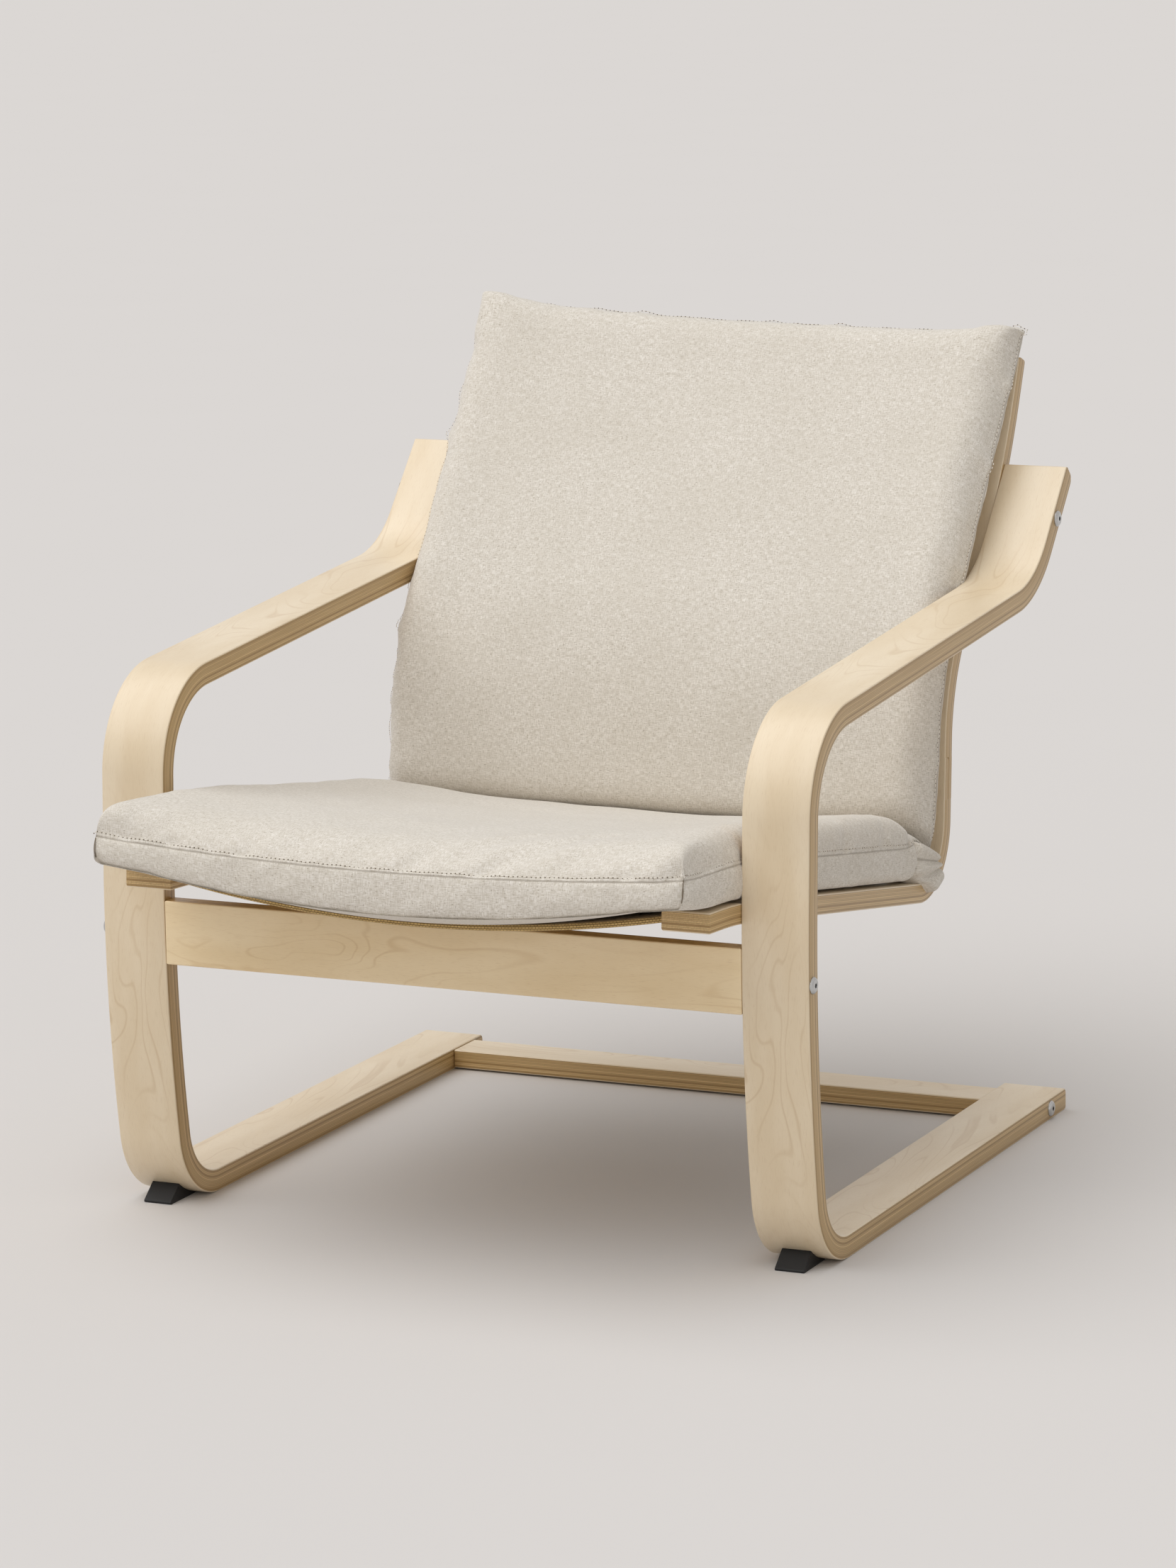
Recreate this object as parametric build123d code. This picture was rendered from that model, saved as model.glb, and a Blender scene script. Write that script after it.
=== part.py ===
"""Cantilever lounge chair: two bent laminated side frames, a bent seat and back
frame hung between them, a woven seat sling, back slats and a two-slab cushion.

Millimetres, +Z up, the chair faces -Y.  While the pieces are drawn, Y = 0 is the
front of the legs and Z = 0 the floor; at the end the whole chair is centred.
"""
from build123d import *
from math import cos, hypot, pi, radians, sin, sqrt, tan
import os

os.makedirs("parts", exist_ok=True)

# ---------------------------------------------------------------- driving sizes
overall_width = 680.0       # outside to outside of the side frames

# side frames: one strip bent to runner, leg, armrest and upturned tip.
# Corners are where the straight stretches of the outer face would meet.
strip_width = 61.5
strip_thickness = 21.0
runner_length = 646.0       # rear end of the runner, from the leg front
heel_y = 25.0               # runner underside meets the leg front
heel_radius = 74.0
knee_y = -4.0               # the leg bows forward here
knee_z = 194.5
knee_radius = 1365.0
shoulder_y = 7.5            # leg front meets the top of the armrest
shoulder_z = 482.5
shoulder_radius = 95.0
elbow_y = 560.5             # armrest turns up towards the back frame
elbow_z = 524.5
elbow_radius = 111.0
tip_y = 647.5
tip_z = 620.4
strip_end_round = 8.0       # round of the strip's ends on the inner face
strip_toe_round = 3.0       # round of the strip's ends on the outer face
arris = 1.2                 # eased long edges of every lamination

# seat and back frame: rails bent to the sitter's line, jointed above the seat.
# Corners lie on the underside of the seat and the rear of the back.
rail_width = 44.0
rail_thickness = 18.0
rail_gap = 0.2              # beside the side frames
nose_y = -67.0              # front end of the seat rail
nose_z = 314.0
droop_y = -6.0              # the front end droops from here
droop_z = 310.4
droop_radius = 600.0
hip_y = 497.5
hip_z = 229.8
hip_radius = 69.0
lumbar_y = 510.0
lumbar_z = 441.0
lumbar_radius = 157.0
blade_y = 644.5
blade_z = 571.5
blade_radius = 555.0
crest_y = 704.0
crest_z = 710.0
crest_round = 5.0
lap_rise = 20.0             # bend to lap joint, along the rail
lap_length = 39.0
lap_tip_round = 4.0
lap_glue = 0.1

# cross rails between the side frames
cross_rail_height = 58.0
cross_rail_thickness = 18.0
cross_rail_z = 259.0
floor_rail_depth = 47.0
floor_rail_thickness = 18.0
floor_rail_lift = 1.8
floor_rail_inset = 43.0     # runner end to the middle of the floor rail
rail_end_gap = 0.25
rail_edge_round = 1.5

# back slats
slat_count = 4
slat_height = 54.0
slat_thickness = 7.0
slat_bow = 14.0
slat_lowest_z = 418.0
slat_highest_z = 668.0
slat_tenon = 11.0
slat_fit = 0.15

# seat sling and the splines that lock it into the grooves of the seat rails
sling_thickness = 1.5
sling_sag = 22.0
sling_front_y = -52.0
sling_rear_y = 392.0
sling_tuck = 8.0
spline_thickness = 2.4
groove_fit = 0.1
groove_end_gap = 0.5
groove_depth = 9.5

# cushion: two foam slabs in one woven cover.  Each slab has a low upright border
# below its top seam and a crowned top panel above it.
cushion_width = 556.0
seat_overhang = 52.0        # in front of the rail ends
front_bulge = 3.0           # each side, where the seat stands in front of the legs
bulge_clearance = 5.0       # bulge to legs
bulge_fade = 11.0
seat_standoff = 7.0         # border's lower edge above the seat rails
seat_border = 25.0
seat_crown = 34.0
seat_front_round = 60.0
seat_front_sag = 20.0       # front border hangs down in the middle
seat_dish = 14.0            # the top sinks in the middle
crown_run = 26.0            # from the seam to the flat of the top panel
cushion_rest = 0.3          # free play where the cushion lies on the frame
fold_height = 54.0
fold_lean = 20.0            # degrees the fold between the slabs leans forward
fold_angle = 50.0           # where in the hip bend the fold sits
fold_gap = 0.6
fold_crown = 12.0           # crown of the back slab where it starts at the fold
fold_turn = 110.0           # the back slab turns out of the fold along this run
back_standoff = 8.0         # cushion edge in front of the back rails
back_lift = 33.0            # cushion top above the crest of the back rails
back_border = 16.0
back_crown = 27.0
back_top_round = 34.0
back_belly = 18.0           # the rear swells between the back rails
back_dish = 6.0
back_bend = 250.0
cover_thickness = 1.2
foam_gap = 0.6
foam_short = 18.0           # the back foam ends this far from the fold

# feet under the heel bends
foot_width = 27.0
foot_front_y = 23.0
foot_top_y = 43.0
foot_rear_thickness = 1.5
foot_fit = 0.1
foot_edge_round = 1.5

# fasteners
bolt_shank = 6.0
bolt_head = 15.0
bolt_head_height = 3.0
bolt_socket = 4.0
bolt_reach = 28.0           # past the side frame, into the rail
bolt_bore = 6.4
arm_bolt_from_tip = 52.8
nut_diameter = 10.0
nut_length = 13.0
nut_from_face = 21.0        # rail end to the middle of the barrel nut
nut_bore = 10.2
dowel_diameter = 8.0
dowel_length = 30.0
dowel_fit = 0.1
cross_dowel_spread = 19.0
floor_dowel_spread = 15.0
pin_diameter = 10.0
pin_length = 46.0
screw_shank = 4.0
screw_head = 8.0
screw_head_height = 2.4
lap_screw_length = 14.0
lap_screw_spread = 11.0
foot_screw_length = 22.0
screw_fit = 0.15

# ---------------------------------------------------------------- derived sizes
outer_x = overall_width / 2
inner_x = outer_x - strip_width
rail_outer_x = inner_x - rail_gap
rail_inner_x = rail_outer_x - rail_width

strip_points = [(runner_length, 0), (heel_y, 0), (knee_y, knee_z), (shoulder_y, shoulder_z),
                (elbow_y, elbow_z), (tip_y, tip_z)]
strip_radii = [heel_radius, knee_radius, shoulder_radius, elbow_radius]
frame_points = [(nose_y, nose_z), (droop_y, droop_z), (hip_y, hip_z),
                (lumbar_y, lumbar_z), (blade_y, blade_z), (crest_y, crest_z)]
frame_radii = [droop_radius, hip_radius, lumbar_radius, blade_radius]


# ---------------------------------------------------------------- path geometry
def heading(a, b):
    """Unit direction from point a to point b."""
    length = hypot(b[0] - a[0], b[1] - a[1])
    return (b[0] - a[0]) / length, (b[1] - a[1]) / length


def shifted(points, radii, distance):
    """The filleted polyline that runs parallel to another, this far to its left."""
    headings = [heading(a, b) for a, b in zip(points, points[1:])]
    first, last = headings[0], headings[-1]
    moved = [(points[0][0] - first[1] * distance, points[0][1] + first[0] * distance)]
    rounds = []
    for (y, z), before, after, radius in zip(points[1:], headings, headings[1:], radii):
        share = distance / (1 + before[0] * after[0] + before[1] * after[1])
        moved.append((y - (before[1] + after[1]) * share, z + (before[0] + after[0]) * share))
        turns_left = before[0] * after[1] - before[1] * after[0] > 0
        rounds.append(radius - distance if turns_left else radius + distance)
    moved.append((points[-1][0] - last[1] * distance, points[-1][1] + last[0] * distance))
    return moved, rounds


def path_of(points, radii):
    return Wire(FilletPolyline(*points, radius=radii).edges())


def crossing(path, value, across):
    """Where a path that only rises passes a height (across = 1) or a depth (0)."""
    low, high = 0.0, 1.0
    for _ in range(40):
        middle = (low + high) / 2
        spot = path.position_at(middle)
        if (spot.X, spot.Y)[across] < value:
            low = middle
        else:
            high = middle
    spot, along = path.position_at(middle), path.tangent_at(middle)
    return (spot.X, spot.Y), (along.X, along.Y)


def band(points, radii, near, far, end_rounds=(0, 0, 0, 0)):
    """Closed outline between two parallels of a path; rounds go start, end, far end, far start."""
    side_a, rounds_a = shifted(points, radii, near)
    side_b, rounds_b = shifted(points, radii, far)
    start, end, far_end, far_start = end_rounds
    corners = side_a + side_b[::-1]
    rounds = [start, *rounds_a, end, far_end, *rounds_b[::-1], far_start]
    return make_face(FilletPolyline(*corners, radius=rounds, close=True))


def across_chair(outline, x_from, x_to):
    """Extrude a side-view outline, drawn as (y, z), from one x to another."""
    return Pos(x_from, 0, 0) * extrude(Plane.YZ * outline, amount=x_to - x_from)


def eased(solid, radius):
    """Round the long edges of a piece cut from a side-view outline."""
    ends = solid.faces().filter_by(Axis.X).sort_by(Axis.X)
    return fillet(ends[0].edges() + ends[-1].edges(), radius)


def rod(start, end, diameter):
    """Round bar between two points."""
    start, end = Vector(*start), Vector(*end)
    return Solid.make_cylinder(diameter / 2, (end - start).length, Plane(start, z_dir=end - start))


def mirrored(solid):
    return mirror(solid, about=Plane.YZ)


# ---------------------------------------------------------------- reference lines
# Levels in the seat rail, square to its underside: groove, spline and sling.
half = rail_thickness / 2
groove_height = spline_thickness + sling_thickness + 3 * groove_fit
spline_low = half - groove_height / 2 + groove_fit
sling_low = spline_low + spline_thickness + groove_fit
sling_top = sling_low + sling_thickness


def seat_run(distance, y_from, y_to):
    """Parallel of the seat rail's underside between two depths, both on its straights."""
    (start, bend, end), rounds = shifted(seat_points, seat_radii, distance)
    first, last = heading(start, bend), heading(bend, end)
    start = (y_from, start[1] + (y_from - start[0]) * first[1] / first[0])
    end = (y_to, bend[1] + (y_to - bend[0]) * last[1] / last[0])
    return [start, bend, end], rounds


leg_front = path_of(strip_points, strip_radii)
strip_middle = path_of(*shifted(strip_points, strip_radii, -strip_thickness / 2))
seat_points, seat_radii = frame_points[:3], frame_radii[:1]
back_points, back_radii = frame_points[2:], frame_radii[2:]
seat_middle = path_of(*shifted(seat_points, seat_radii, rail_thickness / 2))
back_middle = path_of(*shifted(back_points, back_radii, rail_thickness / 2))
back_face = path_of(*shifted(back_points, back_radii, rail_thickness))

cross_front = crossing(leg_front, cross_rail_z, 1)[0][0]
cross_y = cross_front + cross_rail_thickness / 2
floor_y = runner_length - floor_rail_inset
floor_z = floor_rail_lift + floor_rail_thickness / 2


def arm_bolt_spot():
    """On the middle of the upturned tip, measured down from its end."""
    (elbow, tip), _ = shifted(strip_points[-2:], [], -strip_thickness / 2)
    along = heading(elbow, tip)
    return tip[0] - along[0] * arm_bolt_from_tip, tip[1] - along[1] * arm_bolt_from_tip


def pin_spot():
    """Where the middle of the leg crosses the middle of the seat rail."""
    spot = (strip_thickness / 2, droop_z)
    for _ in range(6):
        depth = crossing(strip_middle, spot[1], 1)[0][0]
        spot = crossing(seat_middle, depth, 0)[0]
    return spot


arm_bolt_y, arm_bolt_z = arm_bolt_spot()
pin_y, pin_z = pin_spot()
arm_rail_spot, arm_rail_along = crossing(back_middle, arm_bolt_z, 1)
bolt_spots = {"leg": (cross_y, cross_rail_z), "runner": (floor_y, floor_z),
              "arm": (arm_bolt_y, arm_bolt_z)}
cross_dowels = [(cross_y, cross_rail_z + side * cross_dowel_spread) for side in (-1, 1)]
floor_dowels = [(floor_y + side * floor_dowel_spread, floor_z) for side in (-1, 1)]


# ---------------------------------------------------------------- side frames
def side_frame():
    ends = (strip_toe_round, strip_toe_round, strip_end_round, strip_end_round / 2)
    outline = band(strip_points, strip_radii, 0, -strip_thickness, ends)
    strip = eased(across_chair(outline, inner_x, outer_x), arris)
    for y, z in bolt_spots.values():
        strip -= rod((inner_x - 1, y, z), (outer_x + 1, y, z), bolt_bore)
    for y, z in cross_dowels + floor_dowels:
        depth = dowel_length / 2 + dowel_fit
        strip -= rod((inner_x - 1, y, z), (inner_x + depth, y, z), dowel_diameter + dowel_fit)
    socket = pin_length / 2 + dowel_fit
    strip -= rod((inner_x - 1, pin_y, pin_z), (inner_x + socket, pin_y, pin_z),
                 pin_diameter + dowel_fit)
    return strip - foot_screw(screw_fit)


# ---------------------------------------------------------------- feet
heel_points, heel_radii = strip_points[:3], strip_radii[:1]
heel_run = heel_radius * sqrt((1 - heading(*heel_points[:2])[0] * heading(*heel_points[1:])[0])
                              / (1 + heading(*heel_points[:2])[0] * heading(*heel_points[1:])[0]))
heel_centre = (heel_y + heel_run, heel_radius)
foot_x = (inner_x + outer_x) / 2
foot_rear_y = heel_centre[0] - sqrt(heel_radius ** 2 - (heel_radius - foot_rear_thickness) ** 2)
foot_screw_y = (foot_front_y + foot_rear_y) / 2


def foot_screw(fit=0.0):
    """Countersunk screw up through the foot into the heel bend."""
    sunk = foot_edge_round
    return Pos(foot_x, foot_screw_y, sunk) * wood_screw(foot_screw_length, fit)


def front_foot():
    """Wedge that fills the space under the heel bend, its nose in front of it."""
    bend = heel_radius + foot_fit
    top_z = heel_centre[1] - sqrt(bend ** 2 - (heel_centre[0] - foot_top_y) ** 2)
    wedge = make_face(Polyline((foot_front_y, 0), (foot_rear_y, 0), (foot_rear_y, heel_radius / 2),
                               (foot_top_y, heel_radius / 2), (foot_top_y, top_z), close=True))
    wedge -= Pos(*heel_centre) * Circle(bend)
    body = across_chair(wedge, foot_x - foot_width / 2, foot_x + foot_width / 2)
    nose = body.edges().filter_by(Axis.X).sort_by(Axis.Y)[0]
    body = fillet(nose, foot_edge_round)
    return body - foot_screw(screw_fit)


# ---------------------------------------------------------------- cross rails
def cross_rail():
    length = 2 * (inner_x - rail_end_gap)
    board = Pos(0, cross_y, cross_rail_z) * Box(length, cross_rail_thickness, cross_rail_height)
    board = fillet(board.edges(), rail_edge_round)
    rear = cross_front + cross_rail_thickness
    nut_y = (rear + 1, rear - (cross_rail_thickness + nut_length) / 2)
    return drilled(board, (cross_y, cross_rail_z), cross_dowels,
                   lambda x: rod((x, nut_y[0], cross_rail_z), (x, nut_y[1], cross_rail_z), nut_bore))


def floor_rail():
    length = 2 * (inner_x - rail_end_gap)
    board = Pos(0, floor_y, floor_z) * Box(length, floor_rail_depth, floor_rail_thickness)
    board = fillet(board.edges(), rail_edge_round)
    top = floor_rail_lift + (floor_rail_thickness + nut_length) / 2
    return drilled(board, (floor_y, floor_z), floor_dowels,
                   lambda x: rod((x, floor_y, floor_rail_lift - 1), (x, floor_y, top), nut_bore))


def drilled(board, bolt, dowels, nut_hole):
    """Bolt, barrel nut and dowel holes at both ends of a cross rail."""
    end = inner_x - rail_end_gap
    for side in (-1, 1):
        y, z = bolt
        tip = side * (inner_x - bolt_reach - 1)
        board -= rod((side * inner_x, y, z), (tip, y, z), bolt_bore)
        board -= nut_hole(side * (inner_x - nut_from_face))
        for y, z in dowels:
            bottom = side * (inner_x - dowel_length / 2 - dowel_fit)
            board -= rod((side * (end + 1), y, z), (bottom, y, z), dowel_diameter + dowel_fit)
    return board


# ---------------------------------------------------------------- seat and back rails
def lap_frame():
    """Start of the lap on the rear face of the frame, and the direction up along it."""
    along = heading(frame_points[2], frame_points[3])
    before = heading(frame_points[1], frame_points[2])
    cosine = before[0] * along[0] + before[1] * along[1]
    run = hip_radius * sqrt((1 - cosine) / (1 + cosine)) + lap_rise
    return (hip_y + along[0] * run, hip_z + along[1] * run), along


lap_start, lap_along = lap_frame()
beyond = overall_width      # longer than anything it has to clear


def lap_zone(up_from, up_to, depth_from, depth_to):
    """Rectangle set square to the lap: up along the rail and forward from its rear face."""
    corners = []
    for up, depth in ((up_from, depth_from), (up_to, depth_from), (up_to, depth_to),
                      (up_from, depth_to)):
        corners.append((lap_start[0] + lap_along[0] * up - lap_along[1] * depth,
                        lap_start[1] + lap_along[1] * up + lap_along[0] * depth))
    return make_face(Polyline(*corners, close=True))


def corner_rounded(outline, up, depth, radius):
    """Round the outline's corner nearest to a point given in the lap's frame."""
    y = lap_start[0] + lap_along[0] * up - lap_along[1] * depth
    z = lap_start[1] + lap_along[1] * up + lap_along[0] * depth
    corner = min(outline.vertices(), key=lambda v: hypot(v.X - y, v.Y - z))
    return fillet(corner, radius)


frame_outline = band(frame_points, frame_radii, 0, rail_thickness, (2, crest_round / 2, crest_round, 2))
clear_front = rail_thickness * 3


def groove():
    """Side view of the groove for the sling, cut short of the rail's front end."""
    points, rounds = seat_run(half - groove_height / 2, sling_front_y, sling_rear_y)
    return band(points, rounds, 0, groove_height)


def seat_rail():
    outline = frame_outline - lap_zone(lap_length, beyond, -beyond, clear_front)
    outline -= lap_zone(0, beyond, -beyond, half + lap_glue / 2)
    outline = corner_rounded(outline, lap_length, half, lap_tip_round)
    rail = eased(across_chair(outline, rail_inner_x, rail_outer_x), arris)
    rail -= across_chair(groove(), rail_inner_x - 1, rail_inner_x + groove_depth)
    socket = pin_length / 2 + dowel_fit
    rail -= rod((rail_outer_x + 1, pin_y, pin_z), (rail_outer_x - socket, pin_y, pin_z),
                pin_diameter + dowel_fit)
    for screw in lap_screws(screw_fit):
        rail -= screw
    return rail


def back_upright():
    outline = frame_outline & lap_zone(0, beyond, -beyond, clear_front)
    outline -= lap_zone(-1, lap_length + lap_glue, half - lap_glue / 2, beyond)
    outline = corner_rounded(outline, 0, 0, lap_glue * 10)
    rail = eased(across_chair(outline, rail_inner_x, rail_outer_x), arris)
    rail -= rod((inner_x, arm_bolt_y, arm_bolt_z),
                (inner_x - bolt_reach - 1, arm_bolt_y, arm_bolt_z), bolt_bore)
    rail -= arm_nut(nut_bore, past=rail_thickness)
    for index in range(slat_count):
        rail -= back_slat(index, slat_fit)
    for screw in lap_screws(screw_fit):
        rail -= screw
    return rail


# ---------------------------------------------------------------- back slats
def back_slat(index, fit=0.0):
    """Veneer slat, bowed to the rear, its ends let into the uprights."""
    step = (slat_highest_z - slat_lowest_z) / (slat_count - 1)
    (y, z), along = crossing(back_middle, slat_lowest_z + index * step, 1)
    reach = rail_inner_x + slat_tenon + fit
    bow_radius = (reach ** 2 + slat_bow ** 2) / (2 * slat_bow)
    near = slat_thickness / 2 + fit
    outline = Circle(bow_radius + near) - Circle(bow_radius - near)
    outline &= Pos(0, -bow_radius) * Rectangle(2 * reach, 2 * slat_bow + 2 * slat_thickness)
    outline = Pos(0, bow_radius - slat_bow) * outline
    plane = Plane(origin=(0, y, z), x_dir=(1, 0, 0), z_dir=(0, -along[0], -along[1]))
    return extrude(plane * outline, amount=slat_height / 2 + fit, both=True)


# ---------------------------------------------------------------- sling
def sling_spline():
    """Flat strip that fills the groove under the sling's hem."""
    points, rounds = seat_run(spline_low, sling_front_y + groove_end_gap,
                              sling_rear_y - groove_end_gap)
    return across_chair(band(points, rounds, 0, spline_thickness), rail_inner_x,
                        rail_inner_x + sling_tuck)


def seat_sling():
    """Woven sheet between the seat rails, sagging in the middle, its hems in the grooves."""
    points, rounds = seat_run(sling_low, sling_front_y + groove_end_gap,
                              sling_rear_y - groove_end_gap)
    path = Plane.YZ * path_of(points, rounds)
    edge, tuck, thick = rail_inner_x - 1, rail_inner_x + sling_tuck, sling_thickness
    rim = [Line((-edge, 0), (-tuck, 0)), Line((-tuck, 0), (-tuck, thick)),
           Line((-tuck, thick), (-edge, thick)),
           ThreePointArc((-edge, thick), (0, thick - sling_sag), (edge, thick)),
           Line((edge, thick), (tuck, thick)), Line((tuck, thick), (tuck, 0)),
           Line((tuck, 0), (edge, 0)), ThreePointArc((edge, 0), (0, -sling_sag), (-edge, 0))]
    return sweep(upright(points[0], heading(*points[:2])) * make_face(rim), path=path)


# ---------------------------------------------------------------- cushion
def upright(spot, way):
    """Plane across the chair at a side-view point, square to a side-view direction."""
    return Plane(origin=(0, spot[0], spot[1]), x_dir=(1, 0, 0), z_dir=(0, -way[0], -way[1]))


def slab_section(half_width, low, drop, sag, seam, top, dish, corner):
    """Section of a slab, from its lower edges: drawn-down underside, border, crowned top."""
    rest_x, side = rail_inner_x + arris, half_width - corner
    lean = hypot(corner, top - seam) * 0.2
    bow_x = half_width - corner / 2 + lean * (top - seam) / hypot(corner, top - seam)
    bow = (seam + top) / 2 + lean * corner / hypot(corner, top - seam)
    rim = [Line((half_width, low), (half_width, seam)),
           ThreePointArc((half_width, seam), (bow_x, bow), (side, top)),
           ThreePointArc((side, top), (0, top - dish), (-side, top)),
           ThreePointArc((-side, top), (-bow_x, bow), (-half_width, seam)),
           Line((-half_width, seam), (-half_width, low)),
           Line((-half_width, low), (-rest_x, low - drop)),
           ThreePointArc((-rest_x, low - drop), (0, low - drop - sag), (rest_x, low - drop)),
           Line((rest_x, low - drop), (half_width, low))]
    return make_face(rim)


def fullness(run, round_run):
    """How far a crown has risen at this distance from an edge: a quarter round."""
    return sqrt(1 - max(0, 1 - run / round_run) ** 2)


def spot_on(path, run):
    """Spot and direction at this length along a side-view path."""
    spot, way = path.position_at(run / path.length), path.tangent_at(run / path.length)
    return (spot.X, spot.Y), (way.X, way.Y)


hip_centre = shifted(frame_points, frame_radii, hip_radius)[0][2]
fold_reach = hip_radius - rail_thickness - back_standoff / 2
fold_low = (hip_centre[0] + fold_reach * cos(radians(fold_angle)),
            hip_centre[1] - fold_reach * sin(radians(fold_angle)))
fold_way = (cos(radians(fold_lean)), sin(radians(fold_lean)))


def fold_plane(distance):
    """Plane of the fold, moved this far to the rear."""
    spot = (fold_low[0] + fold_way[0] * distance, fold_low[1] + fold_way[1] * distance)
    return upright(spot, fold_way)


seat_guide_points, seat_guide_radii = seat_run(rail_thickness + seat_standoff,
                                               nose_y - seat_overhang, sling_rear_y)
seat_guide = path_of(seat_guide_points, seat_guide_radii)


def seat_slab(inset=0.0):
    """Seat slab: lies on the rails and the sling, rounded over at the front."""
    full_drop = seat_standoff - cushion_rest
    full_sag = rail_thickness - sling_top + sling_sag
    legs = seat_overhang - nose_y
    shares = (0, 0.05, 0.16, 0.36, 0.68)
    runs = [inset + seat_front_round * share for share in shares]
    rest = seat_guide.length - legs
    narrow = legs - bulge_clearance
    runs += [(seat_overhang + legs) / 2, narrow - bulge_fade, narrow, legs + rest * 0.06,
             legs + rest * 0.4, seat_guide.length]
    sections = []
    for run in runs:
        front = min(1, run / seat_overhang)
        full = fullness(run - inset, seat_front_round)
        drop = full_drop * (0.45 + 0.55 * front)
        sag = seat_front_sag + (full_sag - seat_front_sag) * front
        width = cushion_width / 2 - inset + (front_bulge if run < narrow else 0)
        top = seat_border + seat_crown * (0.09 + 0.91 * full) - inset
        outline = slab_section(width, inset, drop, sag, seat_border - inset / 2, top,
                               seat_dish * (0.8 + 0.2 * full), crown_run * (0.11 + 0.89 * full))
        sections.append(upright(*spot_on(seat_guide, run)) * outline)
    outline = slab_section(cushion_width / 2 - inset, inset, 0, full_sag / 2,
                           seat_border - inset / 2, fold_height - inset, seat_dish, crown_run)
    sections.append(fold_plane(-fold_gap / 2 - inset) * outline)
    return loft(sections, ruled=True)


def back_guide_points():
    """Rear edge of the back slab: a bend in front of the lumbar bend of the rails."""
    bend = (crossing(back_face, lumbar_z, 1)[0][0] - back_standoff * 2, lumbar_z)
    high = (crossing(back_face, crest_z, 1)[0][0] - back_standoff * 0.6, crest_z)
    way = heading(bend, high)
    rise = (crest_z + back_lift - bend[1]) / way[1]
    return [fold_low, bend, (bend[0] + way[0] * rise, bend[1] + way[1] * rise)]


back_guide = path_of(back_guide_points(), [back_bend])


def back_slab(inset=0.0):
    """Back slab: from the fold up past the crest, its rear swollen between the rails."""
    width = cushion_width / 2 - inset
    length = back_guide.length
    outline = slab_section(width, 3 * inset, 0, back_belly / 2,
                           fold_height - fold_crown - inset / 2, fold_height - inset, back_dish,
                           crown_run / 2)
    sections = [fold_plane(fold_gap / 2 + inset) * outline]
    bend_run = hypot(back_guide_points()[1][0] - fold_low[0], back_guide_points()[1][1] - fold_low[1])
    runs = [bend_run * share for share in (0.27, 0.49, 0.65, 0.88, 1.12, 1.35)] + [length * 0.75]
    runs += [length - inset - back_top_round * share for share in (0.68, 0.36, 0.16, 0.05, 0)]
    for run in runs:
        spot, way = spot_on(back_guide, run)
        turned = 1 - fullness(run, fold_turn)
        way = (way[0] + (fold_way[0] - way[0]) * turned, way[1] + (fold_way[1] - way[1]) * turned)
        full = fullness(length - inset - run, back_top_round)
        border = back_border + (fold_height - fold_crown - back_border) * turned
        top = border + back_crown * (0.2 + 0.8 * full * (1 - turned)) - inset
        belly = back_belly * (0.3 + 0.7 * full)
        outline = slab_section(width - crown_run * 0.08 * (1 - full), inset, belly * 0.1, belly,
                               border - inset / 2, top, back_dish, crown_run * (0.11 + 0.89 * full))
        sections.append(upright(spot, heading((0, 0), way)) * outline)
    return loft(sections, ruled=True)


# ---------------------------------------------------------------- fasteners
def wood_screw(length, fit=0.0):
    """Countersunk screw along +Z, its head face at Z = 0."""
    head, shank = screw_head / 2 + fit, screw_shank / 2 + fit
    outline = make_face(Polyline((0, 0), (head, 0), (shank, screw_head_height + fit),
                                 (shank, length - screw_shank / 2 + fit), (0, length + fit), close=True))
    screw = revolve(Plane.XZ * outline, Axis.Z)
    if not fit:
        slot = Box(screw_head * 0.55, screw_shank / 5, screw_head_height)
        screw -= slot + Rot(0, 0, 90) * slot
    return screw


def lap_screws(fit=0.0):
    """Two screws side by side, driven from the rear through the lap."""
    depth = rail_thickness - 2
    up = lap_length / 2
    screws = []
    for side in (-1, 1):
        x = (rail_inner_x + rail_outer_x) / 2 + side * lap_screw_spread
        y = lap_start[0] + lap_along[0] * up
        z = lap_start[1] + lap_along[1] * up
        plane = Plane(origin=(x, y, z), x_dir=(1, 0, 0), z_dir=(0, -lap_along[1], lap_along[0]))
        screws.append(plane.location * wood_screw(min(lap_screw_length, depth), fit))
    return screws


def frame_bolt(y, z):
    """Furniture bolt: broad domed head on the side frame, hexagon socket, plain shank."""
    face = outer_x
    length = strip_width + bolt_reach
    dome = make_face([Line((-length, 0), (bolt_head_height, 0)),
                      Line((bolt_head_height, 0), (bolt_head_height, bolt_head * 0.3)),
                      ThreePointArc((bolt_head_height, bolt_head * 0.3),
                                    (bolt_head_height * 0.8, bolt_head * 0.42),
                                    (bolt_head_height * 0.3, bolt_head / 2)),
                      Line((bolt_head_height * 0.3, bolt_head / 2), (0, bolt_head / 2)),
                      Line((0, bolt_head / 2), (0, bolt_shank / 2)),
                      Line((0, bolt_shank / 2), (-length + 1, bolt_shank / 2)),
                      Line((-length + 1, bolt_shank / 2), (-length, bolt_shank / 2 - 1)),
                      Line((-length, bolt_shank / 2 - 1), (-length, 0))])
    bolt = revolve(dome, Axis.X)
    socket = Plane.YZ.offset(bolt_head_height * 0.2) * RegularPolygon(bolt_socket / sqrt(3), 6)
    bolt -= extrude(socket, amount=bolt_head_height)
    return Pos(face, y, z) * bolt


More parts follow.
